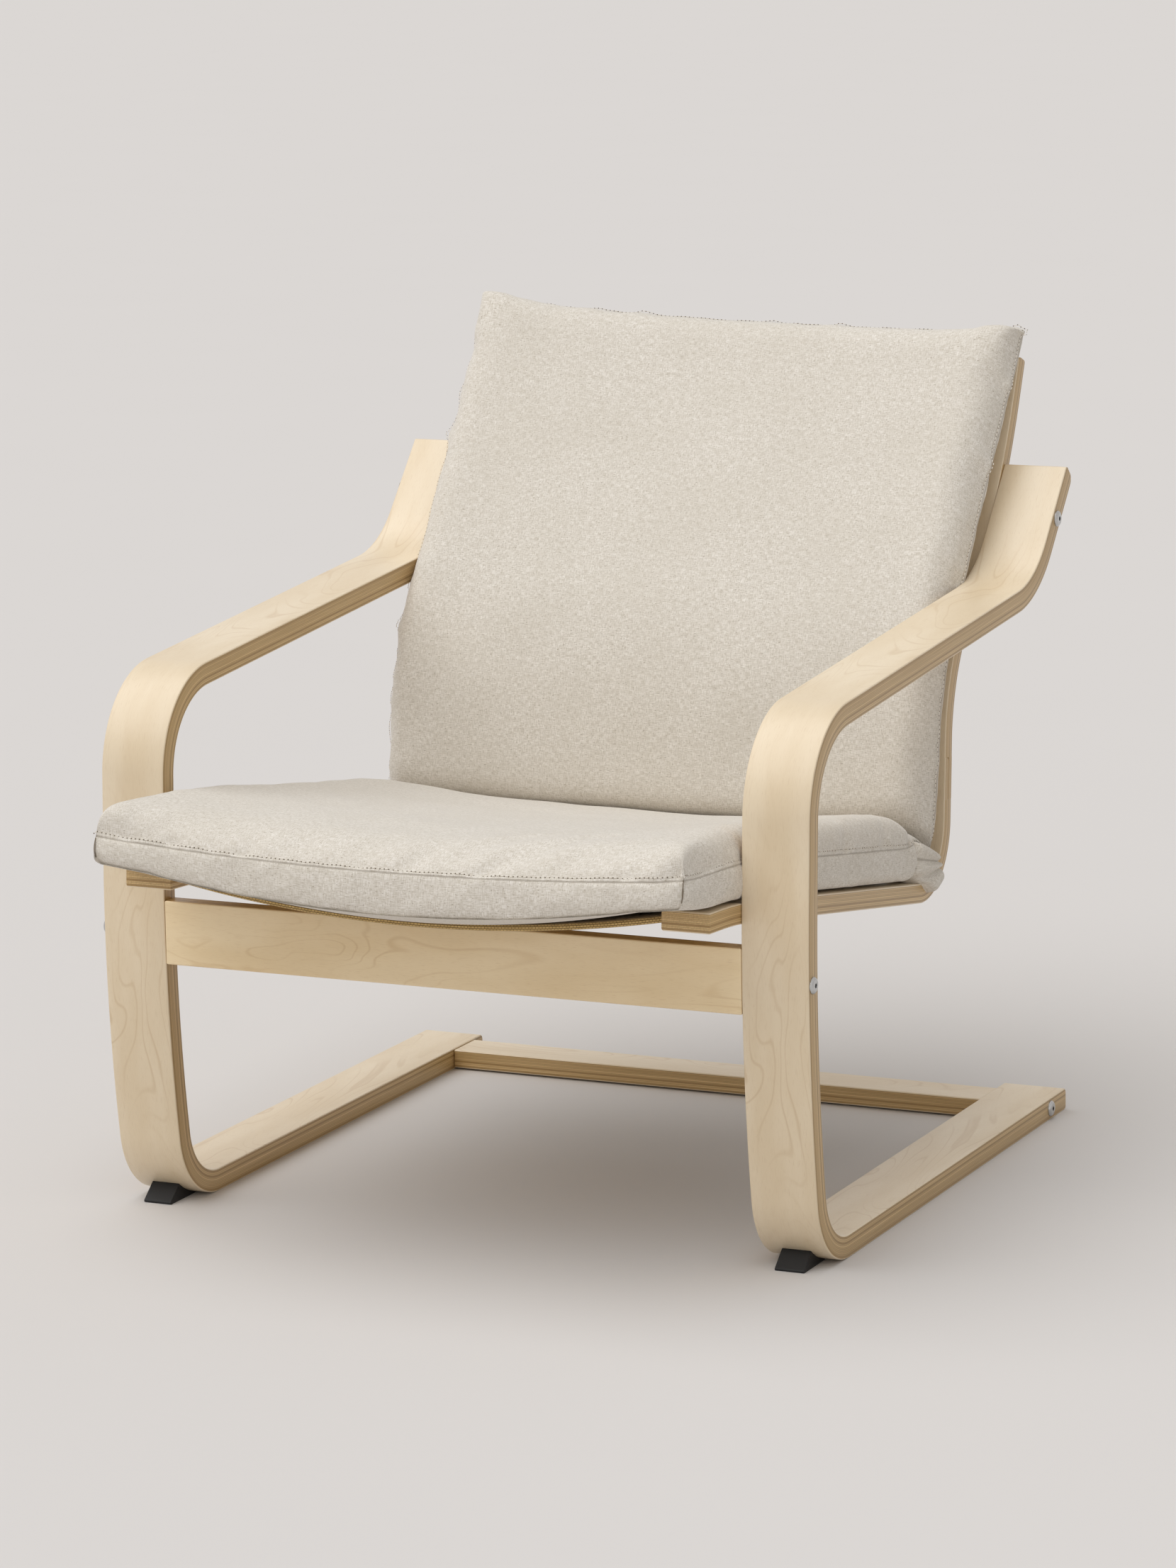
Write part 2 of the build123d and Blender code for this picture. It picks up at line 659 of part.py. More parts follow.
def barrel_nut(x, y, z, way, diameter=nut_diameter, past=0.0):
    """Barrel nut across the bolt, its middle at a point, its open end facing along way."""
    way = Vector(*way).normalized()
    middle = Vector(x, y, z)
    start = middle - way * (nut_length / 2)
    end = middle + way * (nut_length / 2 + past)
    nut = Solid.make_cylinder(diameter / 2, (end - start).length, Plane(start, z_dir=way))
    if past:
        return nut
    nut -= rod((x - nut_diameter, y, z), (x + nut_diameter, y, z), bolt_shank + 0.2)
    slot = Box(nut_diameter * 0.8, 1.2, 1.5)
    return nut - Plane(end, x_dir=(1, 0, 0), z_dir=way).location * slot


def arm_nut(diameter=nut_diameter, past=0.0):
    """Barrel nut of the arm bolt, let into the upright from the rear."""
    x = inner_x - nut_from_face
    way = (0, arm_rail_along[1], -arm_rail_along[0])
    return barrel_nut(x, arm_bolt_y, arm_bolt_z, way, diameter, past)


# ---------------------------------------------------------------- assembly
def both_sides(solid):
    return [solid, mirrored(solid)]


right = {"side_frame": side_frame(), "seat_rail": seat_rail(), "back_upright": back_upright(),
         "sling_spline": sling_spline(), "front_foot": front_foot()}
pieces = {}
for name, solid in right.items():
    pieces[name + "_right"] = solid
    pieces[name + "_left"] = mirrored(solid)
pieces["front_cross_rail"] = cross_rail()
pieces["rear_floor_rail"] = floor_rail()
for index in range(slat_count):
    pieces["back_slat_" + str(index + 1)] = back_slat(index)
pieces["seat_sling"] = seat_sling()
for name, slab in (("seat", seat_slab), ("back", back_slab)):
    pieces[name + "_cushion_cover"] = slab() - slab(cover_thickness)
    pieces[name + "_cushion_foam"] = slab(cover_thickness + foam_gap)
pieces["back_cushion_foam"] = split(pieces["back_cushion_foam"], bisect_by=fold_plane(foam_short),
                                    keep=Keep.BOTTOM)
for name, (y, z) in bolt_spots.items():
    pieces[name + "_bolts"] = both_sides(frame_bolt(y, z))
nut_x = inner_x - nut_from_face
pieces["leg_barrel_nuts"] = both_sides(barrel_nut(nut_x, cross_y, cross_rail_z, (0, 1, 0)))
pieces["runner_barrel_nuts"] = both_sides(barrel_nut(nut_x, floor_y, floor_z, (0, 0, -1)))
pieces["arm_barrel_nuts"] = both_sides(arm_nut())
for name, spots in (("cross_rail_dowels", cross_dowels), ("floor_rail_dowels", floor_dowels)):
    pieces[name] = []
    for y, z in spots:
        dowel = rod((inner_x - dowel_length / 2, y, z), (inner_x + dowel_length / 2, y, z),
                    dowel_diameter)
        pieces[name] += both_sides(chamfer(dowel.edges().filter_by(GeomType.CIRCLE), 0.8))
pin = rod((inner_x - pin_length / 2, pin_y, pin_z), (inner_x + pin_length / 2, pin_y, pin_z),
          pin_diameter)
pieces["seat_pins"] = both_sides(chamfer(pin.edges().filter_by(GeomType.CIRCLE), 0.8))
pieces["lap_screws"] = [solid for screw in lap_screws() for solid in both_sides(screw)]
pieces["foot_screws"] = both_sides(foot_screw())


def solids_of(piece):
    found = []
    for item in piece if isinstance(piece, list) else [piece]:
        found += item.solids()
    return found


everything = Compound([solid for piece in pieces.values() for solid in solids_of(piece)])
box = everything.bounding_box()
centre = Pos(0, -(box.min.Y + box.max.Y) / 2, -box.min.Z)
for name, piece in pieces.items():
    solids = [centre * solid for solid in solids_of(piece)]
    shape = solids[0] if len(solids) == 1 else Compound(solids)
    export_step(shape, "parts/" + name + ".step")
    print(name, len(solids), round(sum(solid.volume for solid in solids) / 1000, 2))
print("overall", [round(v, 1) for v in (box.size.X, box.size.Y, box.size.Z)],
      "centre of depth", round((box.min.Y + box.max.Y) / 2, 3), "floor", round(box.min.Z, 4))
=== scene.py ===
"""Looks of the cantilever lounge chair: bent birch laminations, linen cushion, woven
sling, zinc bolts and black feet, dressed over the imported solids.

Metres.  Side views are drawn as (y, z) pairs with y = 0 at the front of the legs;
DEPTH_SHIFT carries them into the chair's own frame.
"""

import cmath
from math import asin, ceil, copysign, cos, exp, hypot, pi, radians, sin, sqrt, tan

import bmesh
import bpy
import numpy as np
from mathutils import Matrix, Vector, noise
from numpy.linalg import norm, svd


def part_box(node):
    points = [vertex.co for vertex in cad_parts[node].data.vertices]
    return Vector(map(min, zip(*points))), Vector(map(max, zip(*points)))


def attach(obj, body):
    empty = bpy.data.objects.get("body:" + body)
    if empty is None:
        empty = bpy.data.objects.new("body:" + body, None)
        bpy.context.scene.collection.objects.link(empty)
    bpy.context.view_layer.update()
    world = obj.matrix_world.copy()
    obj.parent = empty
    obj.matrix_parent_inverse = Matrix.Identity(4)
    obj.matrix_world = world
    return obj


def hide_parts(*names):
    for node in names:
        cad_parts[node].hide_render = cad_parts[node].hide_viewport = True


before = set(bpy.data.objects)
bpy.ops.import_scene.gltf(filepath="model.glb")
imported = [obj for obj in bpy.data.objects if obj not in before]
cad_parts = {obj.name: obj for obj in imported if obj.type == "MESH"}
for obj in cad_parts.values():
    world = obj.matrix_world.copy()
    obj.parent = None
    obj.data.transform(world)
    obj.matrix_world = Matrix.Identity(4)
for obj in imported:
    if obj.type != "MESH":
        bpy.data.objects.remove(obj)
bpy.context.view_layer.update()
scene = bpy.context.scene


def centre_of(node, axis):
    low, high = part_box(node)
    return (low[axis] + high[axis]) / 2


DEPTH_SHIFT = centre_of("rear_floor_rail", 1) - 0.603

# ---------------- side views
STRIP_WIDTH, STRIP_THICKNESS = 0.0615, 0.021
INNER_X, OUTER_X = 0.2785, 0.340
STRIP_POINTS = [(0.646, 0), (0.025, 0), (-0.004, 0.1945), (0.0075, 0.4825), (0.5605, 0.5245),
                (0.6475, 0.6204)]
STRIP_RADII = [0.074, 1.365, 0.095, 0.111]
RAIL_WIDTH, RAIL_THICKNESS, RAIL_GAP = 0.044, 0.018, 0.0002
RAIL_X = INNER_X - RAIL_GAP - RAIL_WIDTH / 2
RAIL_INNER_X = INNER_X - RAIL_GAP - RAIL_WIDTH
FRAME_POINTS = [(-0.067, 0.314), (-0.006, 0.3104), (0.4975, 0.2298), (0.510, 0.441),
                (0.6445, 0.5715), (0.704, 0.710)]
FRAME_RADII = [0.600, 0.069, 0.157, 0.555]
HANDS = (("left", -1), ("right", 1))


def heading(a, b):
    """Unit direction from point a to point b."""
    length = hypot(b[0] - a[0], b[1] - a[1])
    return (b[0] - a[0]) / length, (b[1] - a[1]) / length


def beside(points, radii, distance):
    """Corners and radii of the line that runs this far to the left of another."""
    ways = [heading(a, b) for a, b in zip(points, points[1:])]
    moved, rounds = [], []
    for (y, z), a, b in zip(points, ways[:1] + ways, ways + ways[-1:]):
        share = distance / (1 + a[0] * b[0] + a[1] * b[1])
        moved.append((y - (a[1] + b[1]) * share, z + (a[0] + b[0]) * share))
    for radius, a, b in zip(radii, ways, ways[1:]):
        rounds.append(radius - distance if a[0] * b[1] > a[1] * b[0] else radius + distance)
    return moved, rounds


def rounded(points, radii, turn=radians(3), stride=0.02):
    """Points along a line with its corners rounded, close together in the bends."""
    points = [complex(*point) for point in points]
    line = points[:1]
    for before, corner, after, radius in zip(points, points[1:], points[2:], radii):
        a, b = corner - before, after - corner
        angle = cmath.phase(b / a)
        start = corner - a / abs(a) * radius * tan(abs(angle) / 2)
        centre = start + a / abs(a) * 1j * copysign(radius, angle)
        count = max(2, ceil(abs(angle) / turn), ceil(abs(angle) * radius / stride))
        line += [centre + (start - centre) * cmath.rect(1, angle * step / count)
                 for step in range(count + 1)]
    line.append(points[-1])
    dense = line[:1]
    for a, b in zip(line, line[1:]):
        count = max(1, ceil(abs(b - a) / stride))
        dense += [a + (b - a) * step / count for step in range(1, count + 1)]
    return np.array([(point.real, point.imag) for point in dense])


class Track:
    """A side-view line that can be asked for the spot and direction at any run along it."""

    def __init__(self, line):
        self.line = line
        self.runs = run_along(line)
        self.length = self.runs[-1]

    def at(self, run):
        return np.array([np.interp(run, self.runs, self.line[:, i]) for i in (0, 1)])

    def way(self, run, span=0.004):
        ahead = self.at(min(run + span, self.length)) - self.at(max(run - span, 0))
        return ahead / norm(ahead)

    def crossing(self, height):
        """Run at which the line passes this height, the last time it does."""
        above = np.nonzero(np.diff(self.line[:, 1] > height))[0][-1]
        (a, b), (start, end) = self.line[above:above + 2, 1], self.runs[above:above + 2]
        return start + (height - a) / (b - a) * (end - start)


def run_along(line):
    """Distance of each point from the first, along the line."""
    return np.concatenate([[0], np.cumsum(norm(np.diff(line, axis=0), axis=1))])


def frame_line(distance):
    """Line that runs this far above the underside of the seat rail and up the upright."""
    return Track(rounded(*beside(FRAME_POINTS, FRAME_RADII, distance)))


# ---------------- meshes and pieces
def placed(name, data):
    """New object in the scene."""
    item = bpy.data.objects.new(name, data)
    scene.collection.objects.link(item)
    return item


def built(name, verts, faces=(), cloth=(), edges=(), **numbers):
    """Mesh with each face corner's place in the cloth and numbers stored on its points."""
    mesh = bpy.data.meshes.new(name)
    mesh.from_pydata([tuple(vert) for vert in verts], edges, faces)
    if len(cloth):
        mesh.uv_layers.new(name="weave").data.foreach_set("uv", np.ravel(cloth))
    for label, values in numbers.items():
        mesh.attributes.new(label, "FLOAT", "POINT").data.foreach_set("value", values)
    return mesh


def cloth_grid(verts, places, wide, turn=1, **numbers):
    """Smooth sheet of points, this many to a row, each with its place in the cloth."""
    faces = [(a, a + 1, a + wide + 1, a + wide)[::turn]
             for a in range(len(verts) - wide) if (a + 1) % wide]
    mesh = built("sheet", verts, faces, [places[k] for face in faces for k in face], **numbers)
    mesh.shade_smooth()
    return mesh


def applied(item):
    """Plain mesh of an object with its modifiers applied."""
    graph = bpy.context.evaluated_depsgraph_get()
    return bpy.data.meshes.new_from_object(item.evaluated_get(graph), depsgraph=graph)


def outward(mesh):
    """Merges doubles and turns all faces outwards."""
    work = bmesh.new()
    work.from_mesh(mesh)
    bmesh.ops.remove_doubles(work, verts=work.verts, dist=5e-6)
    bmesh.ops.recalc_face_normals(work, faces=work.faces)
    if work.calc_volume(signed=True) < 0:
        bmesh.ops.reverse_faces(work, faces=work.faces)
    work.to_mesh(mesh)
    work.free()
    return mesh


def finish(mesh, material):
    mesh.materials.clear()
    mesh.materials.append(material)


def new_piece(name, mesh, replaced, material=None):
    """Puts a finished mesh in the scene, on the chair's only body."""
    mesh.name = name
    piece = placed(name, mesh)
    if material is not None:
        finish(mesh, material)
    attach(piece, "root")
    if replaced:
        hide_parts(*replaced)
    return piece


def refine(piece, level):
    smooth = piece.modifiers.new("smooth", "SUBSURF")
    smooth.levels = smooth.render_levels = level


def thicken(piece, thickness, offset):
    thick = piece.modifiers.new("thick", "SOLIDIFY")
    thick.thickness, thick.offset = thickness, offset


# ---------------- nodes
def add(tree, kind, inputs=(), **settings):
    """New node.  Its inputs, by name or in order, are values, sockets or whole nodes, which
    give their first output."""
    node = tree.nodes.new(kind)
    for key, value in settings.items():
        setattr(node, key, value)
    for key, value in inputs.items() if isinstance(inputs, dict) else enumerate(inputs):
        if isinstance(value, bpy.types.Node):
            value = value.outputs[0]
        if isinstance(value, bpy.types.NodeSocket):
            tree.links.new(value, node.inputs[key])
        else:
            node.inputs[key].default_value = value
    return node


class Paint:
    """A material and short ways of adding nodes to it."""

    def __init__(self, name, **sockets):
        self.material = bpy.data.materials.new(name)
        self.material.use_nodes = True
        self.tree = self.material.node_tree
        self.shader = self.tree.nodes["Principled BSDF"]
        for socket, value in sockets.items():
            self.shader.inputs[socket.replace("_", " ")].default_value = value

    def add(self, kind, inputs=(), **settings):
        return add(self.tree, "ShaderNode" + kind, inputs, **settings)

    def math(self, operation, *values):
        return self.add("Math", values, operation=operation)

    def ramp(self, value, low, high, out_low=0, out_high=1):
        return self.add("MapRange", (value, low, high, out_low, out_high),
                        interpolation_type="SMOOTHSTEP")

    def grain(self, place, stretch, detail=1, rough=0.5, shift=(0, 0, 0), warp=0):
        """Noise stretched along its axes."""
        place = self.add("Mapping", {"Vector": place, "Scale": stretch, "Location": shift})
        return self.add("TexNoise", {"Vector": place, "Scale": 1, "Detail": detail,
                                     "Roughness": rough, "Distortion": warp})

    def mix(self, factor, a, b):
        return self.add("Mix", {0: factor, 6: a, 7: b}, data_type="RGBA").outputs[2]

    def over(self, base, pattern, low, high, most, colour):
        """Lays a colour over another where a pattern is strong, up to a share."""
        return self.mix(self.ramp(pattern, low, high, 0, most), base, colour)

    def named(self, attribute):
        return self.add("Attribute", attribute_name=attribute).outputs["Fac"]

    def place(self):
        return self.add("TexCoord").outputs["Object"]

    def finished(self, colour, height, strength, distance):
        """The material with this colour and relief."""
        relief = self.add("Bump", {"Height": height, "Strength": strength, "Distance": distance})
        self.tree.links.new(relief.outputs[0], self.shader.inputs["Normal"])
        return self.coloured(colour)

    def coloured(self, colour):
        self.tree.links.new(colour, self.shader.inputs["Base Color"])
        return self.material


class GeometryTree:
    """A geometry tree with named inputs: numbers with their default, others by their kind."""

    def __init__(self, name, **inputs):
        self.tree = bpy.data.node_groups.new(name, "GeometryNodeTree")
        self.socket("Geometry", "INPUT", "Geometry")
        for label, value in inputs.items():
            kind = value if isinstance(value, str) else "Float"
            socket = self.socket(label, "INPUT", kind)
            if kind == "Float":
                socket.default_value = value
        self.socket("Geometry", "OUTPUT", "Geometry")
        self.given = add(self.tree, "NodeGroupInput").outputs

    def socket(self, label, way, kind):
        return self.tree.interface.new_socket(label, in_out=way, socket_type="NodeSocket" + kind)

    def add(self, kind, inputs=(), **settings):
        return add(self.tree, "GeometryNode" + kind, inputs, **settings)

    def math(self, operation, *values):
        return add(self.tree, "ShaderNodeMath", values, operation=operation)

    def store(self, geometry, name, value, kind="FLOAT"):
        return self.add("StoreNamedAttribute", {"Geometry": geometry, "Name": name,
                                                "Value": value}, data_type=kind, domain="POINT")

    def stored(self, name, kind="FLOAT"):
        return self.add("InputNamedAttribute", [name], data_type=kind)

    def shifted(self, geometry, way, distance):
        """Geometry moved this far along a direction of each point."""
        offset = add(self.tree, "ShaderNodeVectorMath", {0: way, "Scale": distance},
                     operation="SCALE")
        return self.add("SetPosition", {"Geometry": geometry, "Offset": offset})

    def painted(self, geometry, material):
        return self.add("SetMaterial", {"Geometry": geometry, "Material": material})

    def end(self, geometry):
        add(self.tree, "NodeGroupOutput", [geometry])
        return self.tree


def swept(spots, tree, values, **numbers):
    """The plain mesh that a geometry tree makes of a line, with these input values."""
    edges = [(i, i + 1) for i in range(len(spots) - 1)]
    carrier = placed("line", built("line", spots, edges=edges, **numbers))
    modifier = carrier.modifiers.new(tree.name, "NODES")
    modifier.node_group = tree
    sockets = {item.name: item.identifier for item in tree.interface.items_tree
               if item.item_type == "SOCKET" and item.in_out == "INPUT"}
    for label, value in values.items():
        modifier[sockets[label]] = value
    bpy.context.view_layer.update()
    mesh = applied(carrier)
    bpy.data.objects.remove(carrier)
    return mesh


# ---------------- finishes
def tint(colour, shift=(0, 0, 0)):
    """Colour written as seen on screen, 0 to 255, as the renderer's linear values."""
    seen = [(v + step) / 255 for v, step in zip(colour, shift)]
    return (*(v / 12.92 if v < 0.0404 else ((v + 0.055) / 1.055) ** 2.4 for v in seen), 1)


def birch(name, half_depth, axes=None, middle=0, ply=0.0015, face=(231, 214, 186),
          edge=(208, 176, 121), figure_shift=0):
    """Lacquered birch.  Plies show where the wood is deeper than one veneer under its face.

    Bent pieces carry their own run, breadth and depth; straight ones take them from
    their object coordinates along three axes, the depth counted from its middle.
    """
    paint = Paint(name, Roughness=0.40, Coat_Weight=0.35, Coat_Roughness=0.32, IOR=1.5)
    if axes is None:
        run, breadth, depth = (paint.named(key) for key in ("run", "breadth", "depth"))
    else:
        split = paint.add("SeparateXYZ", [paint.place()])
        run, breadth, depth = (split.outputs[axis] for axis in axes)
        if middle:
            depth = paint.math("SUBTRACT", depth, middle)
    wood = paint.add("CombineXYZ", (run, breadth, depth))
    cloud = paint.grain(wood, (2.6, 11, 11), 2.5, shift=(figure_shift, 0.3, 0.7), warp=0.8)
    rings = paint.math("PINGPONG", paint.math("MULTIPLY", cloud, 19), 0.5)
    patch = paint.grain(wood, (6, 20, 20), shift=(4, figure_shift, 0))
    flame = paint.math("MULTIPLY", paint.ramp(rings, 0, 0.14, 1, 0),
                       paint.ramp(patch, 0.42, 0.68, 0.04, 0.36))
    blush = paint.grain(wood, (7, 30, 30), 2)
    streak = paint.grain(wood, (9, 620, 620), 3, 0.6)
    pores = paint.grain(wood, (110, 1900, 1900))
    pale = paint.over(tint(face, (-6, -9, -13)), blush, 0.3, 0.7, 1, tint(face, (3, 3, 3)))
    pale = paint.mix(flame, pale, tint(face, (-36, -50, -64)))
    pale = paint.over(pale, pores, 0.58, 0.74, 0.30, tint(face, (-34, -46, -56)))
    layer = paint.math("DIVIDE", paint.math("ADD", depth, half_depth), ply)
    shade = paint.add("TexWhiteNoise", {"W": paint.math("FLOOR", layer)}, noise_dimensions="1D")
    glue = paint.math("SUBTRACT", paint.math("FRACT", layer), 0.5)
    glue = paint.ramp(paint.math("ABSOLUTE", glue), 0.36, 0.49)
    laid = paint.mix(shade, tint(edge, (-44, -46, -42)), tint(edge, (16, 16, 16)))
    laid = paint.over(laid, streak, 0.3, 0.75, 0.5, tint(edge, (-46, -50, -52)))
    laid = paint.mix(paint.math("MULTIPLY", glue, 0.7), laid, tint(edge, (-94, -90, -76)))
    under = paint.math("SUBTRACT", half_depth, paint.math("ABSOLUTE", depth))
    under = paint.ramp(under, ply * 0.62, ply * 0.85)
    height = paint.math("MULTIPLY_ADD", pores, 0.5, paint.math("MULTIPLY", streak, 0.5))
    groove = paint.math("MULTIPLY", under, paint.math("MULTIPLY", glue, 0.6))
    return paint.finished(paint.mix(under, pale, laid), paint.math("SUBTRACT", height, groove),
                          0.35, 0.00025)


def linen():
    """Natural linen: slubbed warp and weft, dark flecks, seams and darts grooved in, with painted
    shade along them.
    """
    paint = Paint("linen_cloth", Roughness=0.92, Sheen_Weight=0.35, Sheen_Roughness=0.4,
                  Specular_IOR_Level=0.25)
    weave = paint.add("UVMap", uv_map="weave")
    cross = paint.math("ADD", paint.grain(weave, (190, 1400, 1)),
                       paint.grain(weave, (1400, 190, 1), shift=(7, 3, 0)))
    heather = paint.grain(weave, (100, 220, 1), 3, 0.6)
    soil = paint.grain(weave, (11, 14, 1), 2)
    fleck = paint.grain(weave, (380, 1250, 1), shift=(1, 5, 0))
    thread = paint.grain(weave, (1150, 380, 1), shift=(4, 2, 0))
    body = tint((206, 198, 185))
    for pattern, low, high, most, shade in ((cross, 0.74, 1.26, 1, (236, 230, 221)),
                                            (heather, 0.3, 0.75, 0.38, (196, 187, 172)),
                                            (soil, 0.35, 0.7, 0.25, (208, 200, 186)),
                                            (fleck, 0.63, 0.74, 0.62, (134, 118, 96)),
                                            (thread, 0.66, 0.77, 0.5, (142, 128, 106))):
        body = paint.over(body, pattern, low, high, most, tint(shade))
    # painted shade: along the seams and the corner darts the cloth is darkened towards (116, 102,
    # 84), standing for the shade in their creases; the same mask also grooves the bump
    seam_shade_and_groove = paint.math("MAXIMUM", paint.ramp(paint.named("seam"), 0.0002, 0.0011, 0.42, 0),
                      paint.ramp(paint.named("dart"), 0.0006, 0.0017, 0.9, 0))
    height = paint.math("SUBTRACT", paint.math("MULTIPLY", cross, 0.4),
                        paint.math("MULTIPLY", seam_shade_and_groove, 1.5))
    return paint.finished(paint.mix(seam_shade_and_groove, body, tint((116, 102, 84))), height, 0.45, 0.0005)


def basket_cloth():
    """Tan webbing cloth in a coarse basket weave."""
    paint = Paint("sling_weave", Roughness=0.85, Sheen_Weight=0.15, Specular_IOR_Level=0.3)
    bricks = paint.add("TexBrick", {
        "Vector": paint.add("UVMap", uv_map="weave"), "Scale": 1, "Mortar Size": 0.00025,
        "Brick Width": 0.0032, "Row Height": 0.0016, "Color1": tint((214, 182, 120)),
        "Color2": tint((196, 164, 104)), "Mortar": tint((118, 92, 52))})
    height = paint.math("SUBTRACT", 1, bricks.outputs["Fac"])
    return paint.finished(bricks.outputs["Color"], height, 0.7, 0.0005)


def zinc():
    """Bright zinc plating with faint turning marks."""
    paint = Paint("zinc_plate", Metallic=1, Roughness=0.24)
    mark = paint.grain(paint.place(), (1500, 260, 260), 2, 0.6)
    colour = paint.mix(mark, tint((176, 176, 174)), tint((214, 215, 216)))
    return paint.finished(colour, mark, 0.2, 0.0001)


def moulded(name, shade, grain=2200, rough=0.55):
    """Moulded plastic with a fine spark-eroded grain."""
    paint = Paint(name, Roughness=rough, Specular_IOR_Level=0.4)
    grit = paint.grain(paint.place(), (grain, grain, grain))
    lift = 14 if shade[0] < 60 else 6
    colour = paint.mix(grit, tint(shade), tint(shade, (lift, lift, lift)))
    return paint.finished(colour, grit, 0.25, 0.00015)


# ---------------- bent laminations
def bend_tree():
    """Sweeps an eased rectangle along a line; each ring keeps between its two depth limits."""
    tree = GeometryTree("bent_lamination", Breadth=0.06, Thickness=0.02, Arris=0.0012,
                        Side="Vector", Wood="Material")
    given = tree.given
    line = tree.add("MeshToCurve", [given["Geometry"]])
    line = tree.add("SetCurveNormal", {"Curve": line, "Normal": given["Side"]}, mode="FREE")
    aim = add(tree.tree, "ShaderNodeVectorMath", (given["Side"], tree.add("InputTangent")),
              operation="CROSS_PRODUCT")
    line = tree.store(line, "aim", aim, "FLOAT_VECTOR")
    block = tree.add("CurvePrimitiveQuadrilateral",
                     {"Width": given["Breadth"], "Height": given["Thickness"]})
    block = tree.add("FilletCurve", {"Curve": block, "Count": 4, "Radius": given["Arris"]},
                     mode="POLY")
    spot = add(tree.tree, "ShaderNodeSeparateXYZ", [tree.add("InputPosition")])
    block = tree.store(block, "level", tree.math("MULTIPLY", spot.outputs["Y"], -1))
    beam = tree.add("CurveToMesh", {"Curve": line, "Profile Curve": block, "Fill Caps": True})
    level, low, high = (tree.stored(name) for name in ("level", "lowest", "highest"))
    share = tree.math("ADD", tree.math("DIVIDE", level, given["Thickness"]), 0.5)
    moved = tree.math("MULTIPLY_ADD", share, tree.math("SUBTRACT", high, low), low)
    moved = tree.math("SUBTRACT", moved, level)
    beam = tree.shifted(beam, tree.stored("aim", "FLOAT_VECTOR"), moved)
    beam = tree.add("RealizeInstances", [beam])
    return tree.end(tree.painted(beam, given["Wood"]))


class Bend:
    """One bent piece: its middle line, the plane that line lies in, and its depth limits.

    rounds are (at the end, on the high side, radius) of the side view's corners; halved is
    (at the end, the high half stays) where half the thickness is off for the lap.
    """

    def __init__(self, track, thickness, origin, span=None, rounds=(), halved=None,
                 across=(0, 1, 0), up=(0, 0, 1)):
        self.track, self.half, self.rounds, self.halved = track, thickness / 2, rounds, halved
        self.ends = span or (0, track.length)
        self.origin, self.across, self.up = (np.array(v, float) for v in (origin, across, up))
        self.side = np.cross(self.across, self.up)

    def run_from(self, at_end, distance):
        return self.ends[at_end] + (-distance if at_end else distance)

    def limits(self, run):
        """Lowest and highest depth of the wood."""
        low, high = -self.half, self.half
        if self.halved:
            at_end, keep_high = self.halved
            if abs(run - self.ends[at_end]) < HALF_LAP:
                low, high = (LAP_GAP / 2, high) if keep_high else (low, -LAP_GAP / 2)
        for at_end, high_side, radius in self.rounds:
            gone = abs(run - self.ends[at_end])
            if gone < radius:
                drop = radius - sqrt(max(0, radius ** 2 - (radius - gone) ** 2))
                low, high = (low, high - drop) if high_side else (low + drop, high)
        return low, max(high, low + 1e-4)

    def runs(self):
        """Runs of the rings: the line's own, closer in the rounded ends, twice at a lap."""
        start, end = self.ends
        runs = {run for run in self.track.runs if start + 5e-4 < run < end - 5e-4}
        for at_end, _, radius in self.rounds:
            runs |= {self.run_from(at_end, radius * (1 - cos(pi / 2 * step / 8)))
                     for step in range(9)}
        if self.halved:
            edge = self.run_from(self.halved[0], HALF_LAP)
            runs = {run for run in runs if abs(run - edge) > 4e-4} | {edge - 2e-5, edge + 2e-5}
        return sorted(runs | {start, end})

    def swept(self, breadth, arris, wood):
        runs = self.runs()
        spots = [self.origin + self.across * y + self.up * z for y, z in map(self.track.at, runs)]
        lows, highs = zip(*map(self.limits, runs))
        return swept(spots, lamination, {"Breadth": breadth, "Thickness": self.half * 2,
                                         "Arris": arris, "Side": tuple(self.side), "Wood": wood},
                     lowest=lows, highest=highs)

    def note_grain(self, mesh):
        """Stores run, breadth and depth on every point, for the wood's pattern."""
        spots = np.empty(len(mesh.vertices) * 3)
        mesh.vertices.foreach_get("co", spots)
        spots = spots.reshape(-1, 3) - self.origin
        flat = np.stack([spots @ self.across, spots @ self.up], axis=1)
        a, b = self.track.line[:-1], self.track.line[1:]
        along = b - a
        share = np.clip(((flat[:, None] - a) * along).sum(2) / (along ** 2).sum(1), 0, 1)
        gap = flat[:, None] - (a + share[..., None] * along)
        nearest = (gap ** 2).sum(2).argmin(1)
        way = along[nearest] / norm(along[nearest], axis=1, keepdims=True)
        gap = gap[np.arange(len(flat)), nearest]
        values = {"depth": way[:, 0] * gap[:, 1] - way[:, 1] * gap[:, 0],
                  "run": self.track.runs[nearest] + (way * (flat - a[nearest])).sum(1),
                  "breadth": spots @ self.side}
        for name, value in values.items():
            mesh.attributes.new(name, "FLOAT", "POINT").data.foreach_set("value", value)


def bent_piece(name, bend, breadth, wood, arris=0.0012, bores=()):
    """Bent lamination as a finished piece, drilled where its fasteners show."""
    mesh = outward(bend.swept(breadth, arris, wood))
    if bores:
        mesh = drilled(mesh, bores)
    for leftover in ("aim", "level", "lowest", "highest"):
        if leftover in mesh.attributes:
            mesh.attributes.remove(mesh.attributes[leftover])
    bend.note_grain(mesh)
    mesh.shade_smooth()
    mesh.set_sharp_from_angle(angle=radians(16))
    return new_piece(name, mesh, [name], wood)


